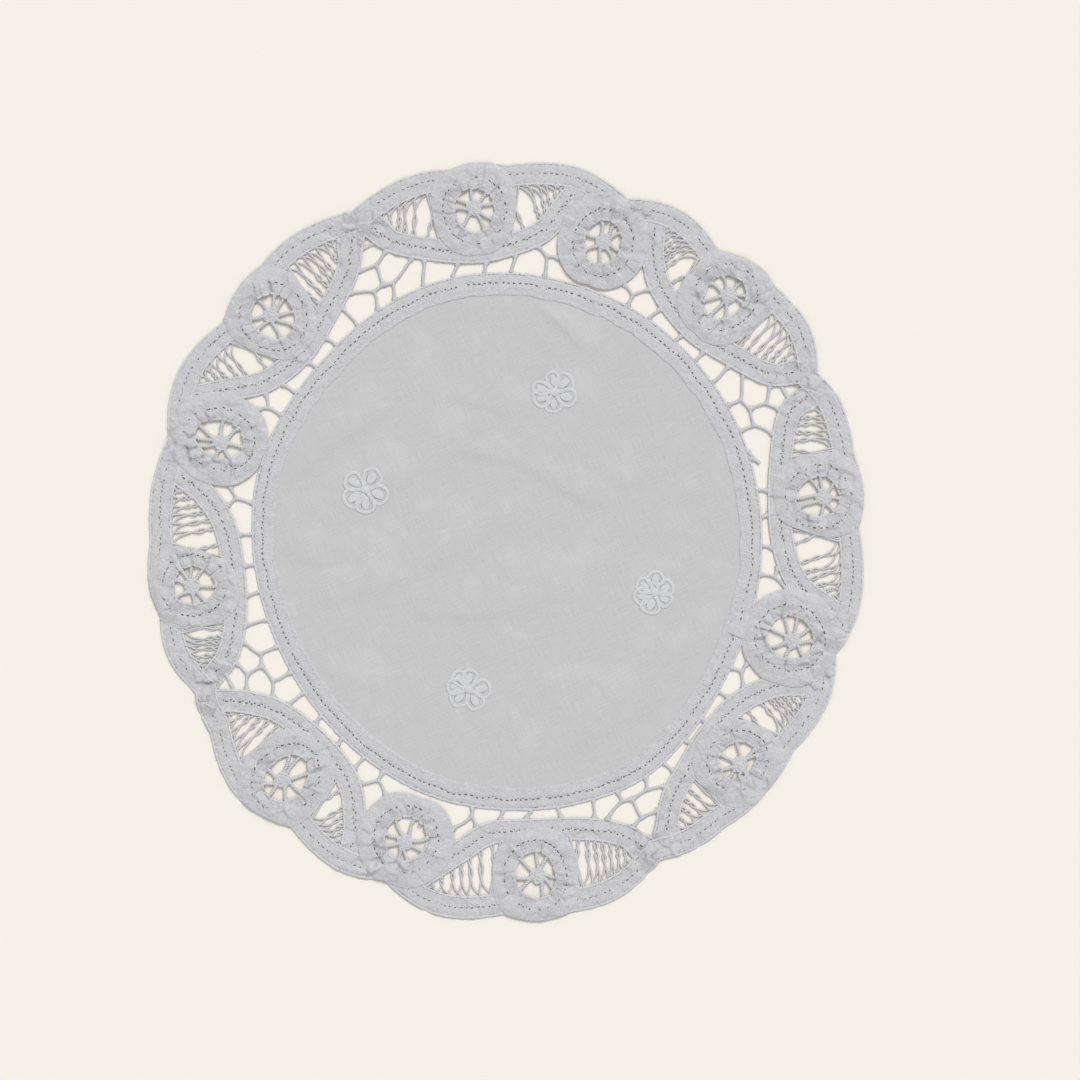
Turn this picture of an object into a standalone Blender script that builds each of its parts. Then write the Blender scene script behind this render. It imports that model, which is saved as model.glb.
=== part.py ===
"""Round tape-lace doily, lying flat. Metres, +Z up, origin on the underside at the middle.

A round cloth with four stitched flowers has a woven tape laid over its edge. The border is eight
pointed eyes of the same tape, which meet tip to tip. A gathered ring of tape crosses each eye, and
four more rings sit between pairs of eyes. Each ring holds an eight-spoked thread wheel, each eye
two panels of crossing threads, and four nets of thread bars join the border to the middle.
"""

from collections import namedtuple
from math import asin, atan2, ceil, cos, degrees, floor, pi, radians, sin

import bmesh
import bpy
import numpy as np

MM = 0.001  # every size below is in millimetres and every angle in degrees, anticlockwise from +X

SHEET = 1.0  # thickness of cloth, tape and thread work
GAP = 0.3  # between a piece and its neighbour
LAP = SHEET + GAP  # height of a piece that lies on another
TAPE = 10.0  # width of the woven tape
TAPE_HALF = TAPE / 2
CLOTH_UNDER = 0.9  # the cloth ends this far inside the tape's middle line
TAPE_STEP = 2.6  # width of the slope where the tape comes down off the cloth's edge

RING_SIDE = 9.8  # how far a gathered ring reaches past its opening, to the sides
RING_FOOT = 9.6  # and towards the doily's middle
RING_CROWN = 11.5  # and outwards, unless it meets the rim first
RING_SHOULDER = 2.0  # fullness of a ring's outer edge between those four directions
RING_STEPS = 26  # two for each pleat
PLEAT = 0.35  # height of the pleats at a ring's opening
TUCK = 2.2  # the outer tape is this much narrower in the middle of an eye, under the ring
TUCK_DEG = 4.0  # and comes back to its width over about this angle to each side
HIDDEN = 1.0  # thread work runs this far in under a ring's outer edge
CORNER = 3.5  # a net's corner starts where its ring is this far from the cloth's tape
CORNER_DEG = 1.6  # and ends on the cloth's tape, this much further round
CLEAR = 2.0  # no other corner of a net's edge lies this near to the end of a bar

BAR = 1.3  # width of a net's bars and of a wheel's spokes
THREAD = 1.0  # width of a panel's threads
WHIP = 0.7  # width of the thread whipped along a tape's edge
HUB = 3.0  # radius of the woven knot of a wheel
LEAST_HOLE = 1.2  # smaller gaps, in square millimetres, close up

EYE_STEP = 4.0  # between the corners of the edge of an eye's outer tape
CLOTH_STEPS = 48
CLOTH_RINGS = 8
TAPE_STEPS = 60

# Middle line of the tape round the cloth: its distance out at each 30 degrees from 0.
CLOTH_TAPE_OUT = (106.6, 108.1, 110.7, 112.7, 110.9, 107.9, 106.1, 105.3, 108.8, 112.2, 114.0, 107.2)

# The rim: each lobe starts at a notch, swells to a crest and ends at the following lobe's notch.
Lobe = namedtuple("Lobe", "notch_deg notch_out crest_deg crest_out")
LOBES = [
    Lobe(-19.0, 151.8, -9.5, 156.6),
    Lobe(2.3, 153.6, 9.0, 157.0),
    Lobe(13.5, 156.2, 22.5, 157.9),
    Lobe(28.3, 154.0, 37.5, 162.3),
    Lobe(44.0, 161.4, 46.5, 162.7),
    Lobe(54.0, 157.0, 62.5, 163.1),
    Lobe(70.5, 158.3, 81.0, 166.2),
    Lobe(90.0, 163.8, 95.0, 165.5),
    Lobe(98.6, 163.6, 103.0, 164.9),
    Lobe(115.0, 158.8, 126.0, 162.7),
    Lobe(131.5, 161.0, 134.0, 161.2),
    Lobe(142.3, 156.2, 152.0, 161.0),
    Lobe(163.0, 154.0, 172.0, 156.2),
    Lobe(180.0, 155.1, 186.5, 156.6),
    Lobe(192.0, 154.0, 197.5, 155.9),
    Lobe(206.0, 150.5, 210.0, 153.2),
    Lobe(213.0, 153.6, 224.0, 161.4),
    Lobe(233.0, 155.7, 243.0, 160.7),
    Lobe(250.0, 156.6, 261.0, 165.5),
    Lobe(269.5, 162.3, 275.5, 165.7),
    Lobe(280.0, 163.6, 283.5, 163.8),
    Lobe(295.8, 154.0, 303.0, 157.0),
    Lobe(307.5, 156.6, 312.0, 157.5),
    Lobe(324.0, 154.9, 332.0, 156.8),
]

# An eye runs from its high angle to its low one. Its outer tape follows the rim. Its inner tape's
# middle line hangs from tip to tip through seven places, each an angle and a distance out.
Eye = namedtuple("Eye", "name high low tip flank shoulder foot shoulder_2 flank_2 tip_2")
EYES = [
    Eye("1", 115.0, 70.5, (113.5, 150.1), (111.0, 140.1), (105.5, 132.2), (96.0, 126.6),
        (88.0, 130.1), (83.0, 136.6), (80.2, 148.3)),
    Eye("2", 70.5, 28.3, (64.3, 147.9), (62.5, 138.3), (58.0, 128.3), (48.5, 122.7),
        (40.0, 127.0), (34.0, 133.5), (30.3, 147.0)),
    Eye("3", 28.3, -19.0, (26.2, 147.9), (22.8, 131.0), (14.5, 123.0), (4.5, 119.3),
        (-4.0, 122.6), (-9.0, 130.5), (-11.7, 143.6)),
    Eye("4", 341.0, 295.8, (334.5, 144.4), (331.5, 132.2), (325.0, 123.1), (316.0, 121.8),
        (308.5, 126.6), (303.0, 132.7), (298.8, 143.6)),
    Eye("5", 295.8, 250.0, (294.0, 144.4), (291.5, 137.0), (286.0, 130.1), (276.0, 126.2),
        (267.0, 127.0), (262.0, 135.3), (258.0, 144.4)),
    Eye("6", 250.0, 206.0, (243.3, 150.1), (241.5, 138.3), (236.5, 124.8), (227.0, 119.6),
        (217.0, 123.5), (211.5, 133.5), (208.8, 143.6)),
    Eye("7", 206.0, 163.0, (204.8, 141.4), (202.5, 131.8), (197.0, 123.5), (188.0, 119.4),
        (177.5, 122.2), (171.5, 131.8), (168.5, 144.4)),
    Eye("8", 163.0, 115.0, (154.3, 147.0), (151.5, 138.3), (146.0, 125.3), (137.0, 120.9),
        (128.0, 126.6), (121.0, 135.3), (117.0, 147.0)),
]

# A ring's middle lies at deg and out. Seen with the rim upwards, its opening reaches left, right,
# up and down from there, the wheel's knot is shifted by hub, and spokes are the wheel's angles.
Ring = namedtuple("Ring", "name deg out left right up down hub spokes")
RINGS = [
    Ring("1", 95.5, 145.7, 8.7, 8.7, 8.3, 10.9, (0.0, 0.0), (10, 48, 92, 145, 180, 225, 290, 328)),
    Ring("2", 47.9, 144.0, 9.4, 7.4, 8.3, 12.4, (0.0, 0.0), (10, 41, 83, 147, 186, 226, 272, 313)),
    Ring("3", 8.0, 138.3, 9.1, 8.3, 7.8, 10.9, (0.0, 0.9), (35, 79, 131, 174, 201, 264, 290, 356)),
    Ring("4", 316.3, 139.2, 9.4, 7.8, 6.5, 8.7, (0.0, 1.3), (14, 56, 87, 148, 172, 231, 289, 339)),
    Ring("5", 275.3, 146.6, 7.8, 9.8, 9.1, 11.3, (-0.4, -0.4), (31, 103, 143, 176, 231, 264, 311, 357)),
    Ring("6", 226.8, 141.8, 9.4, 7.8, 9.6, 12.6, (0.0, 0.7), (8, 51, 90, 140, 186, 229, 280, 312)),
    Ring("7", 188.7, 137.9, 6.5, 10.0, 8.3, 10.0, (1.2, 0.3), (26, 59, 117, 177, 207, 270, 323, 357)),
    Ring("8", 136.3, 141.8, 8.5, 9.8, 8.9, 11.3, (0.4, 0.3), (6, 32, 84, 140, 182, 240, 291, 327)),
    Ring("a", 72.3, 136.6, 7.4, 8.5, 9.6, 10.0, (0.7, 0.3), (39, 75, 115, 172, 219, 281, 321, 355)),
    Ring("c", 341.0, 130.5, 10.0, 8.7, 10.0, 10.4, (0.3, 1.2), (6, 55, 103, 142, 180, 214, 258, 312)),
    Ring("e", 251.5, 136.6, 8.5, 9.6, 9.4, 9.8, (0.4, 1.5), (36, 82, 112, 164, 202, 265, 316, 360)),
    Ring("g", 160.5, 131.4, 7.8, 8.7, 12.0, 9.6, (-0.9, 0.0), (10, 69, 106, 133, 182, 222, 272, 326)),
]

# A net hangs between two rings under a cusp where two eyes meet. A fork's foot is on the cloth's
# tape, its crotch at deg and out, and its arms end on the border at high and low. At the cusp two
# legs, each with a foot and one arm, meet at the hub, whose stem rises to a fork below the cross bar.
# A stub is what is left of a broken bar: its root runs between two feet, and its end lies loose.
Fork = namedtuple("Fork", "foot deg out high low")
Leg = namedtuple("Leg", "foot deg out arm")
Peak = namedtuple("Peak", "leg leg_2 hub fork high low cross")
Net = namedtuple("Net", "name rings eyes fork fork_2 bars peak stub", defaults=(None,))
NETS = [
    Net("1", ("a", "c"), ("2", "3"),
        Fork(62.7, 62.9, 120.5, 65.3, 60.5), Fork(-7.4, -7.5, 117.5, -5.5, -9.5),
        ((57.3, 56.5), (49.8, 49.6), (43.7, 44.0), (37.7, 38.2),
         (11.5, 11.0), (5.4, 5.8), (-1.0, -1.5)),
        Peak(Leg(31.5, 31.2, 119.2, 35.0), Leg(25.2, 25.2, 118.8, 22.0),
             (28.5, 120.9), (28.2, 126.6), 30.0, 26.3, 136.5), (20.4, 18.8, (17.2, 115.2))),
    Net("2", ("c", "e"), ("4", "5"),
        Fork(330.7, 331.0, 117.0, 333.2, 328.5), Fork(262.7, 262.7, 120.5, 264.0, 259.5),
        ((324.7, 325.0), (317.8, 317.9), (311.8, 312.4), (305.3, 306.0),
         (288.6, 287.6), (281.0, 281.3), (275.3, 274.2), (269.3, 268.8)),
        Peak(Leg(300.5, 299.6, 124.0, 302.8), Leg(294.0, 294.1, 123.5, 290.0),
             (296.0, 124.8), (296.2, 134.0), 299.3, 294.0, 142.0)),
    Net("3", ("e", "g"), ("6", "7"),
        Fork(241.8, 241.8, 117.9, 244.5, 239.0), Fork(171.3, 170.9, 118.8, 172.6, 168.7),
        ((236.6, 236.3), (230.0, 230.3), (223.4, 223.6), (216.8, 216.8),
         (198.2, 197.8), (191.5, 191.8), (185.2, 185.4), (178.3, 178.6)),
        Peak(Leg(211.2, 210.8, 118.3, 213.8), Leg(204.6, 204.6, 117.5, 201.0),
             (207.0, 119.6), (207.2, 126.2), 209.0, 204.8, 134.0)),
    Net("4", ("g", "a"), ("8", "1"),
        Fork(150.6, 150.7, 118.8, 152.0, 148.5), Fork(81.8, 81.9, 125.3, 83.7, 79.6),
        ((144.8, 145.0), (137.6, 137.8), (131.0, 131.6), (124.7, 125.0),
         (108.0, 106.3), (101.5, 100.0), (94.7, 94.0), (89.0, 88.3)),
        Peak(Leg(119.0, 118.0, 123.1, 122.0), Leg(114.7, 113.8, 122.7, 108.5),
             (115.5, 124.0), (115.3, 133.0), 118.3, 113.3, 141.0)),
]

# A stitched flower: its middle, its radius, its petals and the angle of its first notch.
Flower = namedtuple("Flower", "name x y size petals turn")
FLOWERS = [
    Flower("1", 21.5, 65.0, 9.1, 6, 10),
    Flower("2", -61.1, 22.0, 10.2, 5, 20),
    Flower("3", 65.0, -22.4, 9.1, 6, 0),
    Flower("4", -16.3, -64.2, 10.2, 6, 15),
]

# A soft ridge in the cloth runs from one end to the other, with a width and a height.
Crease = namedtuple("Crease", "x y x_2 y_2 width height")
CREASES = [
    Crease(-14, 28, 30, 12, 8, 0.5),
    Crease(-32, 20, -8, 43, 7, 0.3),
    Crease(-72, -36, 0, 0, 8, 0.4),
    Crease(-33, -28, 46, -16, 8, 0.4),
    Crease(-94, 26, -48, 43, 9, 0.5),
    Crease(12, 98, 27, 84, 4, 0.4),
    Crease(16, -92, 58, -84, 7, 0.4),
]

COTTON = (0.60, 0.61, 0.63, 1.0)
TAPE_WHITE = (0.68, 0.69, 0.73, 1.0)
THREAD_WHITE = (0.72, 0.73, 0.76, 1.0)


def at(deg, out):
    """The point at an angle and a distance from the doily's middle."""
    return np.array((out * cos(radians(deg)), out * sin(radians(deg))))


def angle_near(point, deg):
    """The angle of a point, in the turn that brings it nearest to deg."""
    angle = degrees(atan2(point[1], point[0]))
    return angle + 360 * round((deg - angle) / 360)


def rim(deg):
    """The distance of the rim: a quarter sine wave up from a notch to its crest, and one down."""
    first = LOBES[0].notch_deg
    deg = (deg - first) % 360 + first
    ends = LOBES[1:] + [Lobe(first + 360, LOBES[0].notch_out, 0, 0)]
    lobe, end = next(pair for pair in zip(LOBES, ends) if deg < pair[1].notch_deg)
    low = lobe if deg < lobe.crest_deg else end
    share = (deg - low.notch_deg) / (lobe.crest_deg - low.notch_deg)
    return low.notch_out + (lobe.crest_out - low.notch_out) * sin(share * pi / 2)


def curve_through(before, start, end, after, share):
    """A Catmull-Rom curve's point between start and end."""
    slope = (end - before) / 2
    slope_2 = (after - start) / 2
    lift = 2 * share**3 - 3 * share**2
    return ((1 + lift) * start - lift * end
            + (share**3 - 2 * share**2 + share) * slope + (share**3 - share**2) * slope_2)


def cloth_tape(deg):
    """The distance of the middle line of the tape round the cloth."""
    count = len(CLOTH_TAPE_OUT)
    place = (deg % 360) / 360 * count
    index = int(place)
    four = [CLOTH_TAPE_OUT[(index + k) % count] for k in (-1, 0, 1, 2)]
    return curve_through(*four, place - index)


def smooth(points, steps):
    """An open curve through the points, with so many steps between each two."""
    points = [np.array(p) for p in points]
    points = [2 * points[0] - points[1], *points, 2 * points[-1] - points[-2]]
    line = [
        curve_through(*points[i : i + 4], k / steps)
        for i in range(len(points) - 3)
        for k in range(steps)
    ]
    return [*line, points[-2]]


def beside(line, distance):
    """The line moved sideways to its left."""
    line = np.array(line)
    run = np.gradient(line, axis=0)
    run /= np.linalg.norm(run, axis=1)[:, None]
    return line + distance * np.stack((-run[:, 1], run[:, 0]), axis=1)


def part_inside(line, measure):
    """The line's longest stretch where the measure is under zero, cut where it crosses zero."""
    values = [measure(p) for p in line]
    stretches = [[]]
    for i, value in enumerate(values):
        if value < 0:
            stretches[-1].append(i)
        elif stretches[-1]:
            stretches.append([])
    longest = max(stretches, key=len)
    first, last = longest[0], longest[-1]
    points = [line[i] for i in longest]
    for outer, inner, place in ((first - 1, first, 0), (last + 1, last, len(points) + 1)):
        if 0 <= outer < len(line):
            share = values[inner] / (values[inner] - values[outer])
            points.insert(place, line[inner] + share * (line[outer] - line[inner]))
    return points


def along(line, share):
    """The point at a share of the line's length."""
    return with_places(line, [share], False)[0]


def with_places(line, shares, corners=True):
    """The points at shares of the line's length, in between the line's own corners."""
    line = np.array(line)
    lengths = np.concatenate(([0], np.cumsum(np.linalg.norm(np.diff(line, axis=0), axis=1))))
    places = np.array(shares) * lengths[-1]
    if corners:
        places = np.unique(np.concatenate((lengths, places)))
    return list(np.stack([np.interp(places, lengths, line[:, k]) for k in (0, 1)], axis=1))


def spaced(start, end, step):
    """Values from start to end, both ends included, about a step apart."""
    return np.linspace(start, end, max(2, round(abs(end - start) / step) + 1))


def area(outline):
    """The area inside an outline, over zero where it runs anticlockwise."""
    x, y = np.array(outline).T
    return float((x * np.roll(y, -1) - y * np.roll(x, -1)).sum() / 2)


def distance_to(point, outline):
    """The distance from a point to an outline, under zero inside it."""
    start = np.array(outline)
    run = np.roll(start, -1, axis=0) - start
    to = point - start
    share = np.clip((to * run).sum(1) / (run * run).sum(1), 0, 1)
    nearest = np.linalg.norm(to - share[:, None] * run, axis=1).min()
    end = start + run
    crosses = (start[:, 1] > point[1]) != (end[:, 1] > point[1])
    rise = np.where(run[:, 1] == 0, 1, run[:, 1])
    left = start[:, 0] + (point[1] - start[:, 1]) / rise * run[:, 0] > point[0]
    return -nearest if (crosses & left).sum() % 2 else nearest


def drawn_in(outline, margin):
    """An anticlockwise outline moved inwards. An edge too short to stay is closed up. None if none is left."""
    outline = [np.array(p) for p in outline]
    while len(outline) > 2:
        start = np.array(outline)
        run = np.roll(start, -1, axis=0) - start
        run /= np.linalg.norm(run, axis=1)[:, None]
        normal = np.stack((-run[:, 1], run[:, 0]), axis=1)
        normal_before = np.roll(normal, 1, axis=0)
        half = normal + normal_before
        moved = start + margin * 2 * half / np.maximum((half * half).sum(1), 0.01)[:, None]
        run_now = np.roll(moved, -1, axis=0) - moved
        turned = [i for i, edge in enumerate(run_now) if edge @ run[i] <= 0]
        if not turned:
            return list(moved) if area(moved) > LEAST_HOLE else None
        i = min(turned, key=lambda k: np.linalg.norm(start[(k + 1) % len(start)] - start[k]))
        following = (i + 1) % len(outline)
        outline[i] = (outline[i] + outline[following]) / 2
        del outline[following]
    return None


def material(name, colour, roughness):
    made = bpy.data.materials.new(name)
    made.use_nodes = True
    shader = made.node_tree.nodes["Principled BSDF"]
    shader.inputs["Base Color"].default_value = colour
    shader.inputs["Roughness"].default_value = roughness
    shader.inputs["Metallic"].default_value = 0.0
    return made


def add(name, data, finish):
    data.materials.append(finish)
    piece = bpy.data.objects.new(name, data)
    doily.objects.link(piece)
    return piece


def flat_piece(name, outlines, low, finish):
    """A flat sheet with the first outline, the others cut through it, standing on the height low."""
    data = bpy.data.curves.new(name, "CURVE")
    data.dimensions = "2D"
    data.fill_mode = "BOTH"
    data.extrude = SHEET / 2 * MM
    for outline in outlines:
        spline = data.splines.new("POLY")
        spline.points.add(len(outline) - 1)
        for point, (x, y) in zip(spline.points, outline):
            point.co = (x * MM, y * MM, 0, 1)
        spline.use_cyclic_u = True
    piece = add(name, data, finish)
    piece.location.z = (low + SHEET / 2) * MM
    return piece


def closed_band(name, sections, finish):
    """A closed skin over sections set round the middle, each a loop of points; poles are merged."""
    count, size = len(sections), len(sections[0])
    mesh = bpy.data.meshes.new(name)
    faces = [
        (i * size + j, (i + 1) % count * size + j,
         (i + 1) % count * size + (j + 1) % size, i * size + (j + 1) % size)
        for i in range(count)
        for j in range(size)
    ]
    mesh.from_pydata([tuple(c * MM for c in p) for s in sections for p in s], [], faces)
    shape = bmesh.new()
    shape.from_mesh(mesh)
    bmesh.ops.remove_doubles(shape, verts=shape.verts, dist=1e-6)
    bmesh.ops.recalc_face_normals(shape, faces=shape.faces)
    shape.to_mesh(mesh)
    shape.free()
    return add(name, mesh, finish)


def relief(x, y):
    """The height of the cloth's soft ridges: a bell across each, fading past its two ends."""
    total = 0.0
    for crease in CREASES:
        run = np.array((crease.x_2 - crease.x, crease.y_2 - crease.y))
        to = np.array((x - crease.x, y - crease.y))
        share = min(max(to @ run / (run @ run), 0), 1)
        away = np.linalg.norm(to - share * run)
        total = max(total, crease.height * np.exp(-((away / crease.width) ** 2)))
    return total


def cloth():
    """The round cloth: a grid of rings on top with the soft ridges, flat below."""
    sections = []
    for step in range(CLOTH_STEPS):
        deg = step * 360 / CLOTH_STEPS
        edge = cloth_tape(deg) - CLOTH_UNDER
        section = [(0, 0, 0), (*at(deg, edge), 0)]
        for ring in range(CLOTH_RINGS, -1, -1):
            share = ring / CLOTH_RINGS
            x, y = at(deg, edge * share)
            fade = 1 - share**8
            section.append((x, y, SHEET + fade * relief(x, y)))
        sections.append(section)
    closed_band("centre_cloth", sections, material("cotton cloth", COTTON, 0.9))


def cloth_edge_tape():
    """The tape round the cloth: its inner half lies on the cloth, its outer half comes down beside it."""
    profile = (
        (-TAPE_HALF, LAP), (-GAP / 2, LAP), (TAPE_STEP - GAP / 2, 0), (TAPE_HALF, 0),
        (TAPE_HALF, SHEET), (TAPE_STEP + GAP, SHEET), (GAP, SHEET + LAP), (-TAPE_HALF, SHEET + LAP),
    )
    sections = []
    for step in range(TAPE_STEPS):
        deg = step * 360 / TAPE_STEPS
        sections.append([(*at(deg, cloth_tape(deg) + x), z) for x, z in profile])
    closed_band("centre_tape", sections, tape_finish)


def band_inside(deg):
    """The distance of the inner edge of an eye's outer tape, which is drawn together under a ring."""
    nearest = min(abs((deg - ring.deg + 180) % 360 - 180) for ring in RINGS[: len(EYES)])
    return rim(deg) - TAPE + TUCK * np.exp(-((nearest / TUCK_DEG) ** 2))


def eye_line(eye):
    """The middle line of an eye's inner tape, from tip to tip, run on a little past each."""
    places = [at(*place) for place in eye[3:]]
    line = smooth(places, 3)
    first = line[0] + (line[0] - line[1]) * 2
    last = line[-1] + (line[-1] - line[-2]) * 2
    return [first, *line, last]


def eye_opening(eye, margin=0.0):
    """(the lower edge, the upper edge) of an eye's opening, drawn in by a margin, both from its high tip."""
    middle = (eye.high + eye.low) / 2

    def past_band(point):
        return np.linalg.norm(point) - band_inside(angle_near(point, middle)) + margin

    lower = part_inside(beside(eye_line(eye), TAPE_HALF + margin), past_band)
    start, end = (angle_near(p, middle) for p in (lower[0], lower[-1]))
    steps = range(floor(start / EYE_STEP), ceil(end / EYE_STEP) - 1, -1)
    upper = [at(step * EYE_STEP, band_inside(step * EYE_STEP) - margin) for step in steps]
    return lower, [lower[0], *upper, lower[-1]]


def eye_net_side(eye, margin=0.0):
    """The net-side edge of an eye's inner tape, cut off at the outer tape and at the eye's two ends."""
    middle = (eye.high + eye.low) / 2

    def outside(point):
        deg, out = angle_near(point, middle), np.linalg.norm(point)
        side = degrees(GAP / 2 / out)
        across = radians(1) * out
        return max(
            out - band_inside(deg) + margin,
            (deg - eye.high + side) * across,
            (eye.low + side - deg) * across,
        )

    return part_inside(beside(eye_line(eye), -TAPE_HALF - margin), outside)


def eye_outline(eye):
    """Round an eye: its net-side edge, then each tail of outer tape to the eye's end, and the rim."""
    middle = (eye.high + eye.low) / 2
    line = eye_net_side(eye)
    side = degrees(GAP / 2 / rim(middle))
    high, low = eye.high - side, eye.low + side
    start, end = (angle_near(p, middle) for p in (line[0], line[-1]))
    tail = [at(deg, band_inside(deg)) for deg in spaced(end, low, 4)[1:]] if end - low > 1 else []
    tail_2 = [at(deg, band_inside(deg)) for deg in spaced(high, start, 4)[:-1]] if high - start > 1 else []
    edge = [at(deg, rim(deg)) for deg in spaced(low, high, 2.4)]
    return [*line, *tail, *edge, *tail_2]


def eye_tape(eye):
    lower, upper = eye_opening(eye)
    flat_piece(f"eye_tape_{eye.name}", [eye_outline(eye), [*lower, *upper[-2:0:-1]]], 0, tape_finish)


def ring_point(ring, local, extra=(0, 0, 0, 0)):
    """The point of a ring's opening at a local angle, its four reaches made longer by extra."""
    left, right, up, down = (a + b for a, b in zip(ring[3:7], extra))
    x = cos(radians(local)) * (right if cos(radians(local)) > 0 else left)
    y = sin(radians(local)) * (up if sin(radians(local)) > 0 else down)
    return ring_place(ring, x, y)


def ring_place(ring, x, y):
    """A place given from a ring's middle, with the rim upwards, as the doily sees it."""
    outwards = at(ring.deg, 1)
    return outwards * (ring.out + y) + np.array((outwards[1], -outwards[0])) * x


def ring_edge(ring, local, less=0.0):
    """The point of a ring's outer edge at a local angle, drawn in by less, and never past the rim."""
    crown = min(RING_CROWN, rim(ring.deg) - ring.out - ring.up)
    extra = [reach - less for reach in (RING_SIDE, RING_SIDE, crown, RING_FOOT)]
    point = ring_point(ring, local, extra)
    middle = ring_place(ring, 0, 0)
    fullness = RING_SHOULDER * abs(sin(2 * radians(local)))
    point = point + fullness * (point - middle) / np.linalg.norm(point - middle)
    out = np.linalg.norm(point)
    most = rim(angle_near(point, ring.deg)) - less
    return point * min(1, most / out)


def ring_tape(ring):
    """A flat ring of tape, its inner edge raised at every second step into pleats."""
    sections = []
    for step in range(RING_STEPS):
        local = step * 360 / RING_STEPS
        edge = ring_edge(ring, local)
        opening = ring_point(ring, local)
        top = LAP + SHEET
        pleat = PLEAT * (step % 2)
        sections.append([(*opening, LAP), (*edge, LAP), (*edge, top), (*opening, top + pleat)])
    closed_band(f"ring_tape_{ring.name}", sections, tape_finish)


def wheel(ring):
    """A wheel of spokes from its knot to a thread whipped round the ring's opening."""
    around = [-GAP] * 4
    inner = [-GAP - WHIP] * 4
    rim_line = [ring_point(ring, local, around) for local in np.arange(0, 360, 15)]
    knot = ring_place(ring, *ring.hub)
    holes = []
    for local, following in zip(ring.spokes, (*ring.spokes[1:], ring.spokes[0] + 360)):
        ends = [ring_point(ring, angle, inner) for angle in (local, following)]
        runs = [(end - knot) / np.linalg.norm(end - knot) for end in ends]
        half = asin(min(1, np.linalg.norm(runs[1] - runs[0]) / 2))
        start = max(HUB, (BAR / 2 + 0.35) / np.tan(half))
        sides = [np.array((-runs[0][1], runs[0][0])), np.array((runs[1][1], -runs[1][0]))]
        reach = [np.linalg.norm(end - knot) for end in ends]
        if min(reach) - start < 1.5:
            continue
        low, high = (knot + run * start + side * BAR / 2 for run, side in zip(runs, sides))
        far = [knot + run * length + side * BAR / 2 for run, side, length in zip(runs, sides, reach)]
        bulge = [ring_point(ring, local + (following - local) * share, inner) for share in (0.33, 0.67)]
        holes.append([low, far[0], *bulge, far[1], high])
    flat_piece(f"wheel_{ring.name}", [rim_line, *holes], LAP, thread_finish)


def crossing(a, a_2, b, b_2):
    """Where the line from a to a_2 crosses the line from b to b_2."""
    run, run_2 = a_2 - a, b_2 - b
    to = b - a
    share = (to[0] * run_2[1] - to[1] * run_2[0]) / (run[0] * run_2[1] - run[1] * run_2[0])
    return a + share * run


def panel(eye, ring, high_side):
    """Two crossing pairs of threads between the tapes of an eye, from its tip to under its ring."""
    middle = ring_place(ring, 0, 0)
    hidden = [ring_edge(ring, local, HIDDEN) for local in range(0, 360, 15)]
    lower, upper = eye_opening(eye, GAP)
    if not high_side:
        lower, upper = lower[::-1], upper[::-1]
    edges = []
    for line in (lower, upper):
        nearest = min(range(len(line)), key=lambda i: np.linalg.norm(line[i] - middle))
        edges.append(part_inside(line[: nearest + 1], lambda p: -distance_to(p, hidden)))
    lower, upper = edges
    top_shares, foot_shares = (0.26, 0.44, 0.66, 0.86), (0.30, 0.48, 0.68, 0.88)
    tops = [along(upper, share) for share in top_shares]
    feet = [along(lower, share) for share in foot_shares]
    cross = crossing(tops[0], feet[1], tops[1], feet[0])
    cross_2 = crossing(tops[2], feet[3], tops[3], feet[2])
    cells = [
        [upper[0], along(upper, 0.13), tops[0], cross, feet[0], along(lower, 0.15)],
        [tops[0], tops[1], cross],
        [feet[0], cross, feet[1]],
        [tops[1], tops[2], cross_2, feet[2], feet[1], cross],
        [tops[2], tops[3], cross_2],
        [feet[2], cross_2, feet[3]],
        [tops[3], upper[-1], lower[-1], feet[3], cross_2],
    ]
    outline = [*with_places(upper, top_shares), *with_places(lower, foot_shares)[:0:-1]]
    cells = [cell if area(cell) > 0 else cell[::-1] for cell in cells]
    holes = [hole for hole in (drawn_in(cell, THREAD / 2) for cell in cells) if hole is not None]
    side = "a" if high_side else "b"
    flat_piece(f"panel_{eye.name}{side}", [outline, *holes], 0, thread_finish)


def cells_of(points, links):
    """The outlines of the cells between straight links that join numbered points and don't cross."""
    around = {}
    for a, b in links:
        around.setdefault(a, []).append(b)
        around.setdefault(b, []).append(a)
    for a, others in around.items():
        others.sort(key=lambda b: atan2(*(points[b] - points[a])[::-1]))
    left = {(a, b) for a, others in around.items() for b in others}
    cells = []
    while left:
        a, b = start = min(left)
        cell = []
        while (a, b) in left:
            left.remove((a, b))
            cell.append(points[a])
            others = around[b]
            a, b = b, others[others.index(a) - 1]
        if (a, b) == start and area(cell) > 0:
            cells.append(cell)
    return cells


def net_border(net):
    """The border edge of a net, from its high ring past the cusp to its low ring."""
    rings = [next(ring for ring in RINGS if ring.name == name) for name in net.rings]
    eyes = [next(eye for eye in EYES if eye.name == name) for name in net.eyes]
    halves = []
    for ring, eye, high_side in zip(rings, eyes, (True, False)):
        shape = [ring_edge(ring, local) for local in range(0, 360, 15)]
        outline = eye_outline(eye)
        line = eye_net_side(eye, GAP)
        if not high_side:
            line = line[::-1]

        def outside(point):
            past_cross = np.linalg.norm(point) - net.peak.cross if near_cusp(point, eye, high_side) else -1
            return max(past_cross, GAP - distance_to(point, shape))

        line = part_inside(line, outside)
        span = range(-80, 60, 16) if high_side else range(260, 120, -16)
        arc = [ring_edge(ring, local, HIDDEN) for local in span]
        arc = [
            p for p in arc
            if distance_to(p, outline) > GAP + 1 and np.linalg.norm(p) > net_foot(angle_near(p, 0)) + CORNER
        ]
        halves.append([*arc, *line])
    return [*halves[0], *halves[1][::-1]]


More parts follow.
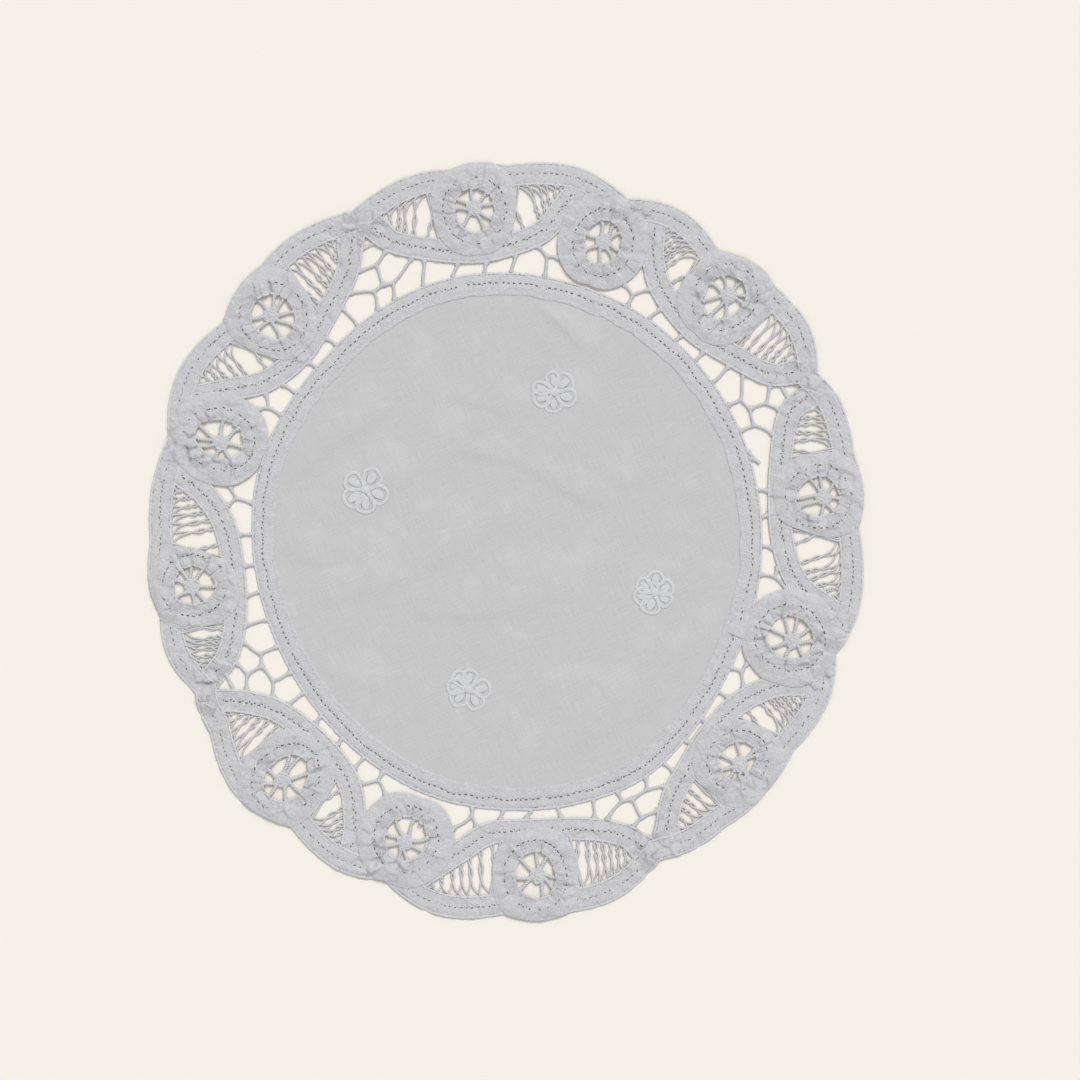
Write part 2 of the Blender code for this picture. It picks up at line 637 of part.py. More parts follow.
def near_cusp(point, eye, high_side):
    """Whether a point is on the side of an eye that is away from its ring between eyes."""
    middle = (eye.high + eye.low) / 2
    return (angle_near(point, middle) < middle) == high_side


def net_foot(deg):
    """The distance of the edge of a net that lies along the cloth's tape."""
    return cloth_tape(deg) + TAPE_HALF + GAP


def with_head(border, deg):
    """(the border with a point put in where the ray at an angle first meets it, that point)."""
    best = None
    for i, (p, q) in enumerate(zip(border, border[1:])):
        a, b = angle_near(p, deg), angle_near(q, deg)
        if (a - deg) * (b - deg) > 0 or a == b:
            continue
        point = crossing(p, q, np.zeros(2), at(deg, 1))
        if best is None or np.linalg.norm(point) < np.linalg.norm(best[1]):
            best = i, point
    place, point = best
    return [*border[: place + 1], point, *border[place + 1 :]], point


def bar_net(net):
    """Thread bars between the cloth's tape and the border, in cells cut through one flat sheet."""
    turn = (net.fork.deg + net.fork_2.deg) / 2
    border = net_border(net)
    legs = (net.peak.leg, net.peak.leg_2)
    heads = [net.fork.high, net.fork.low, net.peak.leg.arm, net.peak.high,
             net.peak.low, net.peak.leg_2.arm, net.fork_2.high, net.fork_2.low,
             *(bar[1] for bar in net.bars)]
    feet = [net.fork.foot, net.fork_2.foot, *(leg.foot for leg in legs), *(bar[0] for bar in net.bars)]
    feet += net.stub[:2] if net.stub else []
    start, end = (angle_near(p, turn) for p in (border[0], border[-1]))
    start = at(start + CORNER_DEG, net_foot(start + CORNER_DEG))
    end = at(end - CORNER_DEG, net_foot(end - CORNER_DEG))
    head_points = {}
    for deg in heads:
        border, head_points[deg] = with_head(border, deg)
    kept = {id(p) for p in head_points.values()}
    top = [
        p for p in border
        if id(p) in kept or min(np.linalg.norm(p - head) for head in head_points.values()) > CLEAR
    ]
    foot_points = {deg: at(deg, net_foot(deg)) for deg in feet}
    base = sorted(foot_points.values(), key=lambda p: -angle_near(p, turn))
    points = [start, *top, end, *base[::-1]]
    links = [(i, (i + 1) % len(points)) for i in range(len(points))]
    index = {id(p): i for i, p in enumerate(points)}

    def number(point):
        if id(point) not in index:
            index[id(point)] = len(points)
            points.append(point)
        return index[id(point)]

    def tie(*ends):
        links.extend(zip(map(number, ends), map(number, ends[1:])))

    for foot, head in net.bars:
        tie(foot_points[foot], head_points[head])
    for fork in (net.fork, net.fork_2):
        crotch = at(fork.deg, fork.out)
        tie(foot_points[fork.foot], crotch, head_points[fork.high])
        tie(crotch, head_points[fork.low])
    hub, crotch = at(*net.peak.hub), at(*net.peak.fork)
    for leg in legs:
        bend = at(leg.deg, leg.out)
        tie(foot_points[leg.foot], bend, head_points[leg.arm])
        tie(bend, hub)
    tie(hub, crotch, head_points[net.peak.high])
    tie(crotch, head_points[net.peak.low])
    if net.stub:
        tie(foot_points[net.stub[0]], at(*net.stub[2]), foot_points[net.stub[1]])
    outline = points[: len(top) + 2 + len(base)]
    holes = [drawn_in(cell, BAR / 2) for cell in cells_of(points, links)]
    flat_piece(f"bar_net_{net.name}", [outline, *(h for h in holes if h is not None)], 0, thread_finish)


def flower(row):
    """A stitched flower lying on the cloth: scalloped round its petals, each with an open middle."""
    steps = 6
    outline = []
    for k in range(row.petals * steps):
        angle = k / steps * 360 / row.petals
        swell = abs(sin(radians(angle * row.petals / 2))) ** 0.6
        outline.append(np.array((row.x, row.y)) + at(angle + row.turn, row.size * (0.72 + 0.28 * swell)))
    petals = []
    for k in range(row.petals):
        along_petal = at((k + 0.5) * 360 / row.petals + row.turn, row.size)
        across_petal = np.array((-along_petal[1], along_petal[0]))
        petals.append([
            np.array((row.x, row.y)) + along_petal * long + across_petal * wide
            for long, wide in ((0.36, 0.0), (0.58, -0.17), (0.74, -0.1), (0.74, 0.1), (0.58, 0.17))
        ])
    height = max(relief(*p) for p in outline)
    flat_piece(f"flower_{row.name}", [outline, *petals], LAP + height, thread_finish)


for old in list(bpy.data.objects):
    bpy.data.objects.remove(old)
doily = bpy.data.collections.new("lace_doily")
bpy.context.scene.collection.children.link(doily)
tape_finish = material("woven tape", TAPE_WHITE, 0.85)
thread_finish = material("cotton thread", THREAD_WHITE, 0.75)

cloth()
cloth_edge_tape()
for eye_row, ring_row in zip(EYES, RINGS):
    eye_tape(eye_row)
    panel(eye_row, ring_row, True)
    panel(eye_row, ring_row, False)
for ring_row in RINGS:
    ring_tape(ring_row)
    wheel(ring_row)
for net_row in NETS:
    bar_net(net_row)
for flower_row in FLOWERS:
    flower(flower_row)
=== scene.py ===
"""Dresses the lace doily: woven cloth, lace tape with its ladder of holes, gathered rings, thread wheels,
crossing threads, twisted bars and stitched flowers. Lengths are in millimetres until a mesh is made,
angles in degrees, anticlockwise from +X.
"""

from collections import namedtuple

import bpy
import numpy as np
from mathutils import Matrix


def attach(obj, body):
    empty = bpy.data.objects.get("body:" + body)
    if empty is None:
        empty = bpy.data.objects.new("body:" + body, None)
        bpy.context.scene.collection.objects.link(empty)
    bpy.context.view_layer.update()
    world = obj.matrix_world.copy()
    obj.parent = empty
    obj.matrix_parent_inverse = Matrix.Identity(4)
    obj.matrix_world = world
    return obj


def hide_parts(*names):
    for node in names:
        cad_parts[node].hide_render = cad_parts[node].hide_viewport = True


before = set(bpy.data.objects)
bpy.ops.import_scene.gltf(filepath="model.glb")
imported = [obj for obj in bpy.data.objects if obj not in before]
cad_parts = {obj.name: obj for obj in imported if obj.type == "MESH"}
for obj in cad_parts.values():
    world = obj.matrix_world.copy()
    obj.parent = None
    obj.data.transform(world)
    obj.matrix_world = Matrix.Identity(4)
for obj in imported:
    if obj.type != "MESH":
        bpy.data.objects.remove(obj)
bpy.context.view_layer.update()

MM = 0.001
draws = np.random.default_rng

# Heights of top faces over the surface that the doily lies on.
TAPE_TOP = 0.95  # a tape that lies on nothing else
ON_CLOTH = 0.14  # the centre tape's inner edge lies this much higher
CLOTH_TOP = 0.9
LAYER = 0.2  # a tape that crosses another rises by this much
THICK = 0.45  # what shows of a tape's thickness at its edges
THREAD_LEVEL = 0.5  # middle of the bars' and panels' threads
FLOOR_GAP = 0.03  # what is left under the lowest edge

TAPE = 10.0
TAPE_HALF = TAPE / 2
ROW = 0.42  # along a tape
LADDER_HALF = 0.62  # half the ladder's width
BAND_LADDER = 0.42  # the same where the tape follows the rim
LADDER_DEEP = 0.05  # below the tape's face
EDGE = np.array((0.0, 0.05, 0.22, 0.7, 1.1, 1.55, 2.05, 2.55, 3.05, 3.55, 4.1))  # columns in from each edge
DROP = (-THICK, -0.1, *[0] * 9)  # the outermost ones turn down
LADDER = len(EDGE)  # the first of the two cells between the tape's woven bands
COLUMNS = 2 * len(EDGE) + 3
FULL = TAPE_HALF - LADDER_HALF

# How far a ring's edge lies outside its opening: at its sides, below, above, and more on its diagonals.
RING_SIDE = 9.8
RING_FOOT = 9.6
RING_CROWN = 11.5
RING_SHOULDER = 2.0
RING_LAP, LAP_WIDE = 2.0, 25  # what the rings between two eyes lie over their tapes, and over which angle
RING_LADDER = 5.0  # from the opening's edge to the ladder
CORNER_DEG, CORNER_WIDE = (215, 325), 30  # a ring's lower corners
TUCK, TUCK_DEG = 2.2, 4.0  # under each ring the outer tape is drawn together
RUN_ON = 12.0  # an inner tape's length past its tip
RIM_CLEAR = 0.2  # from an inner tape's edge to the rim
LAP_DEG = (337.4, 343.5)  # where the centre tape's end lies over its start

# Threads: a whole turn of two plies, their lobes, and half the height of a flattened one.
SPOKE = {"pitch": 2.4, "lobe": 0.33, "tall": 0.62}
KNOT = {"pitch": 1.9, "lobe": 0.12, "tall": 0.5, "closed": True}
KNOT_ROUNDS = (0.4, 1.2, 2.05, 2.8)  # the rounds of a wheel's knot, out from its hub
BAR = {"pitch": 1.9, "lobe": 0.34, "tall": 0.52}
CROSS_BAR = {"pitch": 1.6, "lobe": 0.15, "tall": 0.4}
CROSSING = {"pitch": 2.2, "lobe": 0.12, "sides": 6}
SATIN = {"pitch": 9, "lobe": 0.0}
# The faces that close a thread's end, for its number of sides.
CAP = {6: ((0, 1, 2, 5), (2, 3, 4, 5)), 8: ((0, 1, 2, 7), (2, 3, 6, 7), (3, 4, 5, 6))}
END_TAPER = 0.45  # a thread's last section, as a share of its width
WIDE_GAP = 5.5  # a panel's last gap, beside the ring, past which it has a coil more
BAND = 0.8  # half the width of a flower's stitched bands
BOSS = 2.0  # half the width of its middle

COTTON = (0.575, 0.574, 0.575)
TAPE_WHITE = (0.602, 0.602, 0.62)
THREAD_WHITE = (0.62, 0.621, 0.636)
STITCH_WHITE = (0.645, 0.647, 0.662)
CLOTH_TURN = 25.5  # heading of the cloth's threads

FLOOR = (0.918, 0.876, 0.80)
FLOOR_SIDE = 14
VIEW_MIDDLE = (14.6, 0.65)  # the doily lies a little to the left of the frame's middle
VIEW_SIDE = 470.0  # what the frame shows from side to side
LENS = 85.0
SENSOR = 36.0
SUN, SUN_TILT, SUN_DEG, SUN_WIDE = 1.68, 44, 66, 24  # strength, from upright, heading, softness
SKY = 0.62

# The middle line of the tape round the cloth: its distance out at each 15 degrees. The cloth ends a
# little inside it.
CLOTH_UNDER = 0.9
CLOTH_TAPE_OUT = (
    106.4, 107.0, 108.1, 109.0, 110.3, 111.1, 112.2, 112.2, 110.1, 107.6, 107.4, 107.3,
    105.7, 104.6, 104.7, 106.1, 108.3, 110.9, 112.0, 113.4, 114.3, 110.6, 107.4, 106.7,
)

# The rim: each lobe starts at a notch, swells to a crest and ends at the following lobe's notch.
Lobe = namedtuple("Lobe", "notch_deg notch_out crest_deg crest_out")
LOBES = [Lobe(*row) for row in (
    (-19.0, 151.8, -9.5, 156.6), (2.3, 153.6, 9.0, 157.0), (13.5, 156.2, 22.5, 157.9),
    (28.3, 154.0, 37.5, 162.3), (44.0, 161.4, 46.5, 162.7), (54.0, 157.0, 62.5, 163.1),
    (70.5, 158.3, 81.0, 166.2), (90.0, 163.8, 95.0, 165.5), (98.6, 163.6, 103.0, 164.9),
    (115.0, 158.8, 126.0, 162.7), (131.5, 161.0, 134.0, 161.2), (142.3, 156.2, 152.0, 161.0),
    (163.0, 154.0, 172.0, 156.2), (180.0, 155.1, 186.5, 156.6), (192.0, 154.0, 197.5, 155.9),
    (206.0, 150.5, 210.0, 153.2), (213.0, 153.6, 224.0, 161.4), (233.0, 155.7, 243.0, 160.7),
    (250.0, 156.6, 261.0, 165.5), (269.5, 162.3, 275.5, 165.7), (280.0, 163.6, 283.5, 163.8),
    (295.8, 154.0, 303.0, 157.0), (307.5, 156.6, 312.0, 157.5), (324.0, 154.9, 332.0, 156.8),
)]

# An eye runs from its high angle to its low one. Its outer tape follows the rim. Its inner tape's
# middle line hangs from tip to tip through seven places, each an angle and a distance out.
Eye = namedtuple("Eye", "name high low tip flank shoulder foot shoulder_2 flank_2 tip_2")
EYES = [
    Eye("1", 115.0, 70.5, (113.5, 150.1), (111.0, 140.1), (105.5, 132.2), (96.0, 126.6), (88.0, 130.1),
        (83.0, 136.6), (80.2, 148.3)),
    Eye("2", 70.5, 28.3, (64.3, 147.9), (62.5, 138.3), (58.0, 128.3), (48.5, 122.7), (40.0, 127.0),
        (32.6, 135.4), (29.9, 147.2)),
    Eye("3", 28.3, -19.0, (25.9, 147.9), (24.0, 134.2), (14.5, 123.0), (4.5, 119.3), (-4.0, 122.6),
        (-9.0, 130.5), (-11.7, 143.6)),
    Eye("4", 341.0, 295.8, (334.5, 144.4), (331.5, 132.2), (325.0, 123.1), (316.0, 121.8), (308.5, 126.6),
        (303.0, 132.7), (298.8, 143.6)),
    Eye("5", 295.8, 250.0, (294.0, 144.4), (291.5, 137.0), (286.0, 130.1), (276.0, 126.2), (267.0, 127.0),
        (262.0, 135.3), (258.0, 144.4)),
    Eye("6", 250.0, 206.0, (243.3, 150.1), (241.5, 138.3), (236.5, 124.8), (227.0, 119.6), (217.0, 123.5),
        (211.5, 133.5), (208.8, 143.6)),
    Eye("7", 206.0, 163.0, (204.8, 141.4), (202.5, 131.8), (197.0, 123.5), (188.0, 119.4), (177.5, 122.2),
        (171.5, 131.8), (168.5, 144.4)),
    Eye("8", 163.0, 115.0, (154.3, 147.0), (151.5, 138.3), (146.0, 125.3), (137.0, 120.9), (128.0, 126.6),
        (121.0, 135.3), (117.0, 147.0)),
]

# A ring's middle lies at deg and out. Seen with the rim upwards, its opening reaches left, right,
# up and down from there, the wheel's knot is shifted by hub, and spokes are the wheel's angles.
# At each gather the tape is drawn together: an angle, and how far the crease runs from the opening.
Ring = namedtuple("Ring", "name deg out left right up down hub spokes gathers")
RINGS = [
    Ring("1", 95.5, 145.7, 8.7, 8.7, 8.3, 10.9, (0.0, 0.0), (10, 48, 92, 145, 180, 225, 290, 328),
        ((8, 4), (36, 6), (75, 3), (100, 3), (122, 6), (148, 5), (162, 5), (188, 11), (228, 6), (265, 6),
        (292, 4), (312, 5), (350, 8))),
    Ring("2", 47.9, 144.0, 9.4, 7.4, 8.3, 12.4, (0.0, 0.0), (10, 41, 83, 147, 186, 226, 272, 313),
        ((22, 11), (52, 6), (88, 3), (125, 4), (152, 6), (166, 5), (193, 13), (220, 6), (240, 3),
        (258, 6), (292, 5), (312, 10), (345, 4))),
    Ring("3", 8.0, 138.3, 9.1, 8.3, 7.8, 10.9, (0.0, 0.9), (35, 79, 131, 174, 201, 264, 290, 356),
        ((5, 5), (32, 6), (62, 9), (88, 2), (125, 7), (155, 5), (182, 6), (205, 12), (243, 7), (272, 3),
        (300, 4), (322, 6), (345, 4))),
    Ring("4", 316.3, 139.2, 9.4, 7.8, 6.5, 8.7, (0.0, 1.3), (14, 56, 87, 148, 172, 231, 289, 339),
        ((0, 4), (24, 9), (52, 3), (92, 7), (130, 7), (152, 5), (178, 4), (205, 3), (235, 7), (280, 3),
        (302, 6), (320, 6), (342, 4))),
    Ring("5", 275.3, 146.6, 7.8, 9.8, 9.1, 11.3, (-0.4, -0.4), (31, 103, 143, 176, 231, 264, 311, 357),
        ((18, 4), (45, 6), (80, 2), (122, 6), (148, 5), (168, 7), (204, 4), (226, 7), (252, 3), (280, 3),
        (300, 5), (315, 12), (358, 10))),
    Ring("6", 226.8, 141.8, 9.4, 7.8, 9.6, 12.6, (0.0, 0.7), (8, 51, 90, 140, 186, 229, 280, 312),
        ((5, 12), (34, 4), (49, 6), (68, 5), (98, 2), (122, 4), (134, 6), (180, 5), (197, 11), (228, 7),
        (256, 3), (282, 3), (306, 5), (340, 7))),
    Ring("7", 188.7, 137.9, 6.5, 10.0, 8.3, 10.0, (1.2, 0.3), (26, 59, 117, 177, 207, 270, 323, 357),
        ((20, 10), (34, 10), (60, 3), (97, 4), (145, 10), (175, 3), (203, 12), (228, 7), (260, 5),
        (300, 5), (320, 7), (350, 11))),
    Ring("8", 136.3, 141.8, 8.5, 9.8, 8.9, 11.3, (0.4, 0.3), (6, 32, 84, 140, 182, 240, 291, 327),
        ((0, 4), (22, 6), (48, 4), (68, 5), (95, 2), (123, 5), (155, 4), (178, 3), (200, 4), (238, 7),
        (262, 3), (285, 7), (330, 7))),
    Ring("a", 72.3, 136.6, 7.4, 8.5, 9.6, 10.0, (0.7, 0.3), (39, 75, 115, 172, 219, 281, 321, 355),
        ((0, 3), (25, 5), (60, 6), (86, 6), (115, 8), (150, 5), (178, 6), (197, 4), (230, 7), (262, 3),
        (290, 9), (312, 3), (336, 12))),
    Ring("c", 341.0, 130.5, 10.0, 8.7, 10.0, 10.4, (0.3, 1.2), (6, 55, 103, 142, 180, 214, 258, 312),
        ((5, 5), (30, 5), (58, 6), (100, 3), (138, 5), (165, 3), (204, 4), (236, 4), (254, 4), (268, 4),
        (293, 4), (308, 3), (327, 5))),
    Ring("e", 251.5, 136.6, 8.5, 9.6, 9.4, 9.8, (0.4, 1.5), (36, 82, 112, 164, 202, 265, 316, 360),
        ((25, 6), (50, 9), (93, 5), (125, 8), (165, 12), (200, 5), (234, 4), (254, 3), (277, 4), (300, 4),
        (322, 7), (350, 7))),
    Ring("g", 160.5, 131.4, 7.8, 8.7, 12.0, 9.6, (-0.9, 0.0), (10, 69, 106, 133, 182, 222, 272, 326),
        ((12, 3), (42, 4), (60, 7), (105, 4), (135, 5), (158, 4), (178, 3), (203, 4), (218, 13), (262, 3),
        (284, 5), (299, 4), (316, 5), (350, 6))),
]

# The eyes that the rings between two of them lie on.
LAPS = {"a": "12", "c": "34", "e": "56", "g": "78"}

# How far a ring's lower corners, left and right, are drawn in towards its opening.
CORNERS = {
    "1": (1.0, 2.0), "3": (0.0, 4.0), "4": (2.0, 0.0), "5": (0.0, 1.0), "7": (0.0, 4.5), "8": (3.5, 2.5),
}

# Each panel of threads: its feet, and how far its threads lean across for each one up.
PANELS = {
    "1a": (5, 0.6), "1b": (5, 0.65), "2a": (6, 0.6), "2b": (6, 0.3), "3a": (5, 0.5), "3b": (6, 0.55),
    "4a": (6, 0.5), "4b": (5, 0.45), "5a": (7, 0.35), "5b": (6, 0.25), "6a": (5, 0.6), "6b": (5, 0.3),
    "7a": (6, 0.4), "7b": (6, 0.35), "8a": (6, 0.5), "8b": (7, 0.25),
}

# A fork's foot is on the cloth's tape, its crotch at deg and out, and its arms end on the border at
# high and low. Under a cusp two legs, each with a foot and one arm, meet at the hub, whose stem rises
# to a fork below the cross bar. A stub's root runs between two feet, and its end lies loose.
Fork = namedtuple("Fork", "foot deg out high low")
Leg = namedtuple("Leg", "foot deg out arm")
Peak = namedtuple("Peak", "leg leg_2 hub fork high low cross")
Net = namedtuple("Net", "name fork fork_2 bars peak stub", defaults=(None,))
NETS = [
    Net("1", Fork(62.7, 62.9, 120.5, 65.3, 60.5), Fork(-7.4, -7.5, 117.5, -5.5, -9.5),
        ((57.3, 56.5), (49.8, 49.6), (43.7, 44.0), (37.7, 38.2),
         (11.5, 11.0), (5.4, 5.8), (-1.0, -1.5)),
        Peak(Leg(31.5, 31.2, 119.2, 35.0), Leg(25.2, 25.2, 118.8, 22.0),
             (28.5, 120.9), (28.0, 128.0), 30.5, 25.8, 136.5), (20.4, 18.8, (17.2, 115.2))),
    Net("2", Fork(330.7, 331.0, 117.0, 333.2, 328.5), Fork(262.7, 262.7, 120.5, 264.0, 259.5),
        ((324.7, 325.0), (317.8, 317.9), (311.8, 312.4), (305.3, 306.0),
         (288.6, 287.6), (281.0, 281.3), (275.3, 274.2), (269.3, 268.8)),
        Peak(Leg(300.5, 299.6, 124.0, 302.8), Leg(294.0, 294.1, 123.5, 290.0),
             (296.0, 124.8), (296.2, 134.0), 299.3, 294.0, 142.0)),
    Net("3", Fork(241.8, 241.8, 117.9, 244.5, 239.0), Fork(171.3, 170.9, 118.8, 172.6, 168.7),
        ((236.6, 236.3), (230.0, 230.3), (223.4, 223.6), (216.8, 216.8),
         (198.2, 197.8), (191.5, 191.8), (185.2, 185.4), (178.3, 178.6)),
        Peak(Leg(211.2, 210.8, 118.3, 213.8), Leg(204.6, 204.6, 117.5, 201.0),
             (207.0, 119.6), (207.3, 126.6), 209.8, 204.4, 134.0)),
    Net("4", Fork(150.6, 150.7, 118.8, 152.0, 148.5), Fork(81.8, 81.9, 125.3, 83.7, 79.6),
        ((144.8, 145.0), (137.6, 137.8), (131.0, 131.6), (124.7, 125.0),
         (108.0, 106.3), (101.5, 100.0), (94.7, 94.0), (89.0, 88.3)),
        Peak(Leg(119.0, 118.0, 123.1, 122.0), Leg(114.7, 113.8, 122.7, 108.5),
             (115.5, 124.0), (115.3, 133.0), 118.4, 112.5, 141.0)),
]

# A stitched flower: its middle, and for each petal its heading, its length and half its width.
Flower = namedtuple("Flower", "name x y petals")
FLOWERS = [
    Flower("1", 20.8, 64.9, ((43, 10.6, 3.8), (96, 9.8, 2.7), (163, 10.4, 2.7), (205, 10.4, 3.8),
                             (267, 9.6, 3.3), (338, 10.4, 3.9))),
    Flower("2", -61.3, 22.5, ((62, 10.4, 4.2), (146, 10.6, 3.8), (213, 11.2, 4.0), (270, 10.8, 4.0),
                              (340, 10.8, 4.0))),
    Flower("3", 64.4, -22.2, ((22, 9.4, 3.4), (326, 9.2, 3.1), (253, 10.2, 3.9), (196, 9.8, 3.4),
                              (148, 9.4, 3.2), (86, 9.8, 3.5))),
    Flower("4", -16.5, -64.4, ((300, 10.2, 3.7), (221, 10.0, 3.6), (169, 10.2, 3.3), (130, 10.2, 2.9),
                               (85, 9.2, 3.1), (3, 10.2, 3.8))),
]

# A soft ridge in the cloth runs from one end to the other: steep on its right side, with this width, and
# wider on its left side.
Crease = namedtuple("Crease", "x y x_2 y_2 width height")
WIDER = 2.5
CREASES = [Crease(*row) for row in (
    (-97, 27, -76, 43, 4, 0.7), (-76, 43, -55, 57, 4, 0.9), (-45, 27, -12, 49, 4, 0.5),
    (-18, 40, 4, 36, 3, 0.65), (4, 36, 36, 18, 3, 0.55), (-75, -24, -40, -13, 4.5, 0.6),
    (-40, -13, 3, 13, 4.5, 0.4), (-34, -30, -8, -31, 4.5, 0.6), (-8, -31, 49, -14, 4.5, 0.4),
    (18, 101, 32, 87, 3, 0.8), (-18, 62, 0, 58, 3.5, 0.4), (22, -91, 62, -70, 4.5, 0.6),
    (62, -70, 84, -39, 4.5, 0.6), (-99, -2, -78, -8, 4, 0.45), (-77, -56, -50, -64, 4.5, 0.4),
    (52, 27, 68, 31, 4, 0.35), (80, 20, 92, 24, 4, 0.4),
)]


# ---- curves

def norm(points):
    """The length of each vector."""
    return np.linalg.norm(points, axis=-1)


def bell(value):
    """1 at 0 and less to both sides: e to minus the square."""
    return np.exp(-(value**2))


def smoothstep(value):
    """0 below 0, 1 above 1, and three squares less two cubes between."""
    value = np.clip(value, 0, 1)
    return value * value * (3 - 2 * value)


def polar(deg, out):
    """Points at angles and distances: the distance times the angle's cosine and sine."""
    turn = np.radians(np.asarray(deg, float))
    return np.stack((np.cos(turn) * out, np.sin(turn) * out), axis=-1)


def angles(points):
    return np.degrees(np.arctan2(points[..., 1], points[..., 0]))


def half_turn(deg):
    """Angles brought between -180 and 180."""
    return (deg + 180) % 360 - 180


def near(deg, middle):
    """Angles in the turn that brings each nearest to the middle."""
    return deg + 360 * np.round((middle - deg) / 360)


def rim(deg):
    """The rim's distance: from each notch to the crest beside it, it grows as a quarter sine wave."""
    knots = np.array(LOBES).reshape(-1, 2)
    knots = np.concatenate((knots, knots[:1] + (360, 0)))
    deg = (np.asarray(deg, float) - knots[0, 0]) % 360 + knots[0, 0]
    index = np.clip(np.searchsorted(knots[:, 0], deg, side="right") - 1, 0, len(knots) - 2)
    notch, crest = index + index % 2, index + 1 - index % 2
    share = (deg - knots[notch, 0]) / (knots[crest, 0] - knots[notch, 0])
    return knots[notch, 1] + (knots[crest, 1] - knots[notch, 1]) * np.sin(share * np.pi / 2)


def cubic(before, start, end, after, share):
    """A Catmull-Rom stretch: a cubic that leaves start and enters end with half the step between the
    neighbours."""
    return start + share * (end - before) / 2 + share**2 * (
        before - 2.5 * start + 2 * end - after / 2
    ) + share**3 * (1.5 * start - before / 2 - 1.5 * end + after / 2)


def cloth_tape(deg):
    """The distance of the middle line of the tape round the cloth: a closed Catmull-Rom curve."""
    outs = np.array(CLOTH_TAPE_OUT)
    place = (np.asarray(deg, float) % 360) / 360 * len(outs)
    index = place.astype(int)
    return cubic(*[outs[(index + k) % len(outs)] for k in (-1, 0, 1, 2)], place - index)


def lengths(line):
    """How far along the line each of its points lies."""
    return np.concatenate(([0], np.cumsum(norm(np.diff(line, axis=0)))))


def flow(points, step):
    """A Catmull-Rom curve through the points, cut into even steps by interpolation over its length."""
    line = np.concatenate((2 * points[:1] - points[1:2], points, 2 * points[-1:] - points[-2:-1]))
    share = np.linspace(0, 1, 12, endpoint=False)[None, :, None]
    curve = cubic(line[:-3, None], line[1:-2, None], line[2:-1, None], line[3:, None], share).reshape(-1, 2)
    curve = np.concatenate((curve, points[-1:]))
    along = lengths(curve)
    places = np.linspace(0, along[-1], max(2, int(round(along[-1] / step))) + 1)
    return np.stack([np.interp(places, along, column) for column in curve.T], axis=1)


def direction(line, closed=False):
    """The unit run of the line at each point, from the point before to the one after."""
    if closed:
        run = np.roll(line, -1, axis=0) - np.roll(line, 1, axis=0)
    else:
        run = np.gradient(line, axis=0)
    return run / norm(run)[:, None]


def beside(line, distance):
    """The line moved to its left by a distance, which may differ from point to point."""
    run = direction(line)
    return line + np.stack((-run[:, 1], run[:, 0]), axis=1) * np.reshape(distance, (-1, 1))


def raised(points, height):
    """The points with their heights as a third number."""
    return np.concatenate((points, np.broadcast_to(height, points.shape[:-1])[..., None]), axis=-1)


def stretches(lines):
    """(the starts, the runs) of all the lines' straight stretches."""
    return (np.concatenate([line[:-1] for line in lines]),
            np.concatenate([np.diff(line, axis=0) for line in lines]))


def off(points, start, run):
    """(the way from each stretch's start to each point, the point's distance from that stretch)"""
    to = points[..., None, :] - start
    share = np.clip((to * run).sum(-1) / (run * run).sum(-1), 0, 1)
    return to, norm(to - share[..., None] * run)


# ---- uneven rows and fields

def wander(count, seed, waves, closed=True):
    """A smooth uneven row of numbers about 0: sine waves with random heights and starts."""
    rng = draws(seed)
    share = np.arange(count) / count
    turns = np.arange(1, waves + 1) * (1 if closed else 0.73)
    heights, starts = rng.normal(size=(2, waves))
    total = (heights * np.sin(2 * np.pi * (turns * share[:, None] + starts))).sum(axis=1)
    return total / np.sqrt(waves)


def scallops(count, seed):
    """The small uneven waves of a whipped edge, about three rows long."""
    rng = draws(seed)
    turn = np.arange(count) * 2 * np.pi / 3 + rng.normal(0, 0.5, count).cumsum()
    return 0.12 * np.sin(turn) + rng.normal(0, 0.05, count)


def crinkle(points, seed, length):
    """A crumpled height field: eight plane waves with random headings, about one length apart."""
    rng = draws(seed)
    heading = rng.uniform(0, 2 * np.pi, 8)
    pitch = 2 * np.pi / (length * rng.uniform(0.6, 1.8, 8))
    start = rng.uniform(0, 2 * np.pi, 8)
    along = points[..., 0, None] * np.cos(heading) + points[..., 1, None] * np.sin(heading)
    return np.sin(along * pitch + start).sum(axis=-1) / np.sqrt(8)


def facets(points, size, seed, rise, slope):
    """Pads with sharp creases between them, about one size across. In each square cell lies one random
    point; a pad is the root of the distance to the second nearest point less that to the nearest, cut off
    at a third of the size, and it rises by rise and leans its own way by about slope. Returns (the
    height, how near the middle of a crease lies), and the tapes paint the latter as shade."""
    rng = draws(seed)
    spots, leans = rng.random((64, 64, 2)), rng.normal(0, slope, (64, 64, 2))
    place = points / size
    away, lean = [], []
    for step in np.ndindex(3, 3):
        cell = np.floor(place).astype(int) + step - 1
        at = cell[..., 0] % 64, cell[..., 1] % 64
        to = place - cell - spots[at]
        away.append(norm(to))
        lean.append(size * (to * leans[at]).sum(axis=-1))
    away, lean = np.array(away), np.array(lean)
    order = np.argsort(away, axis=0)[:2]
    first, second = np.take_along_axis(away, order, axis=0)
    own = np.take_along_axis(lean, order[:1], axis=0)[0]
    gap = second - first
    return np.sqrt(np.clip(gap * 3, 0, 1)) * (rise + own), bell(gap * size / 0.9)


# ---- outlines

def band_inside(deg):
    """The inner edge of an eye's outer tape: the rim less a tape, drawn together under each ring by a
    bell."""
    apart = np.abs(half_turn(np.asarray(deg)[..., None] - [row.deg for row in RINGS[: len(EYES)]]))
    return rim(deg) - TAPE + TUCK * bell(apart.min(axis=-1) / TUCK_DEG)


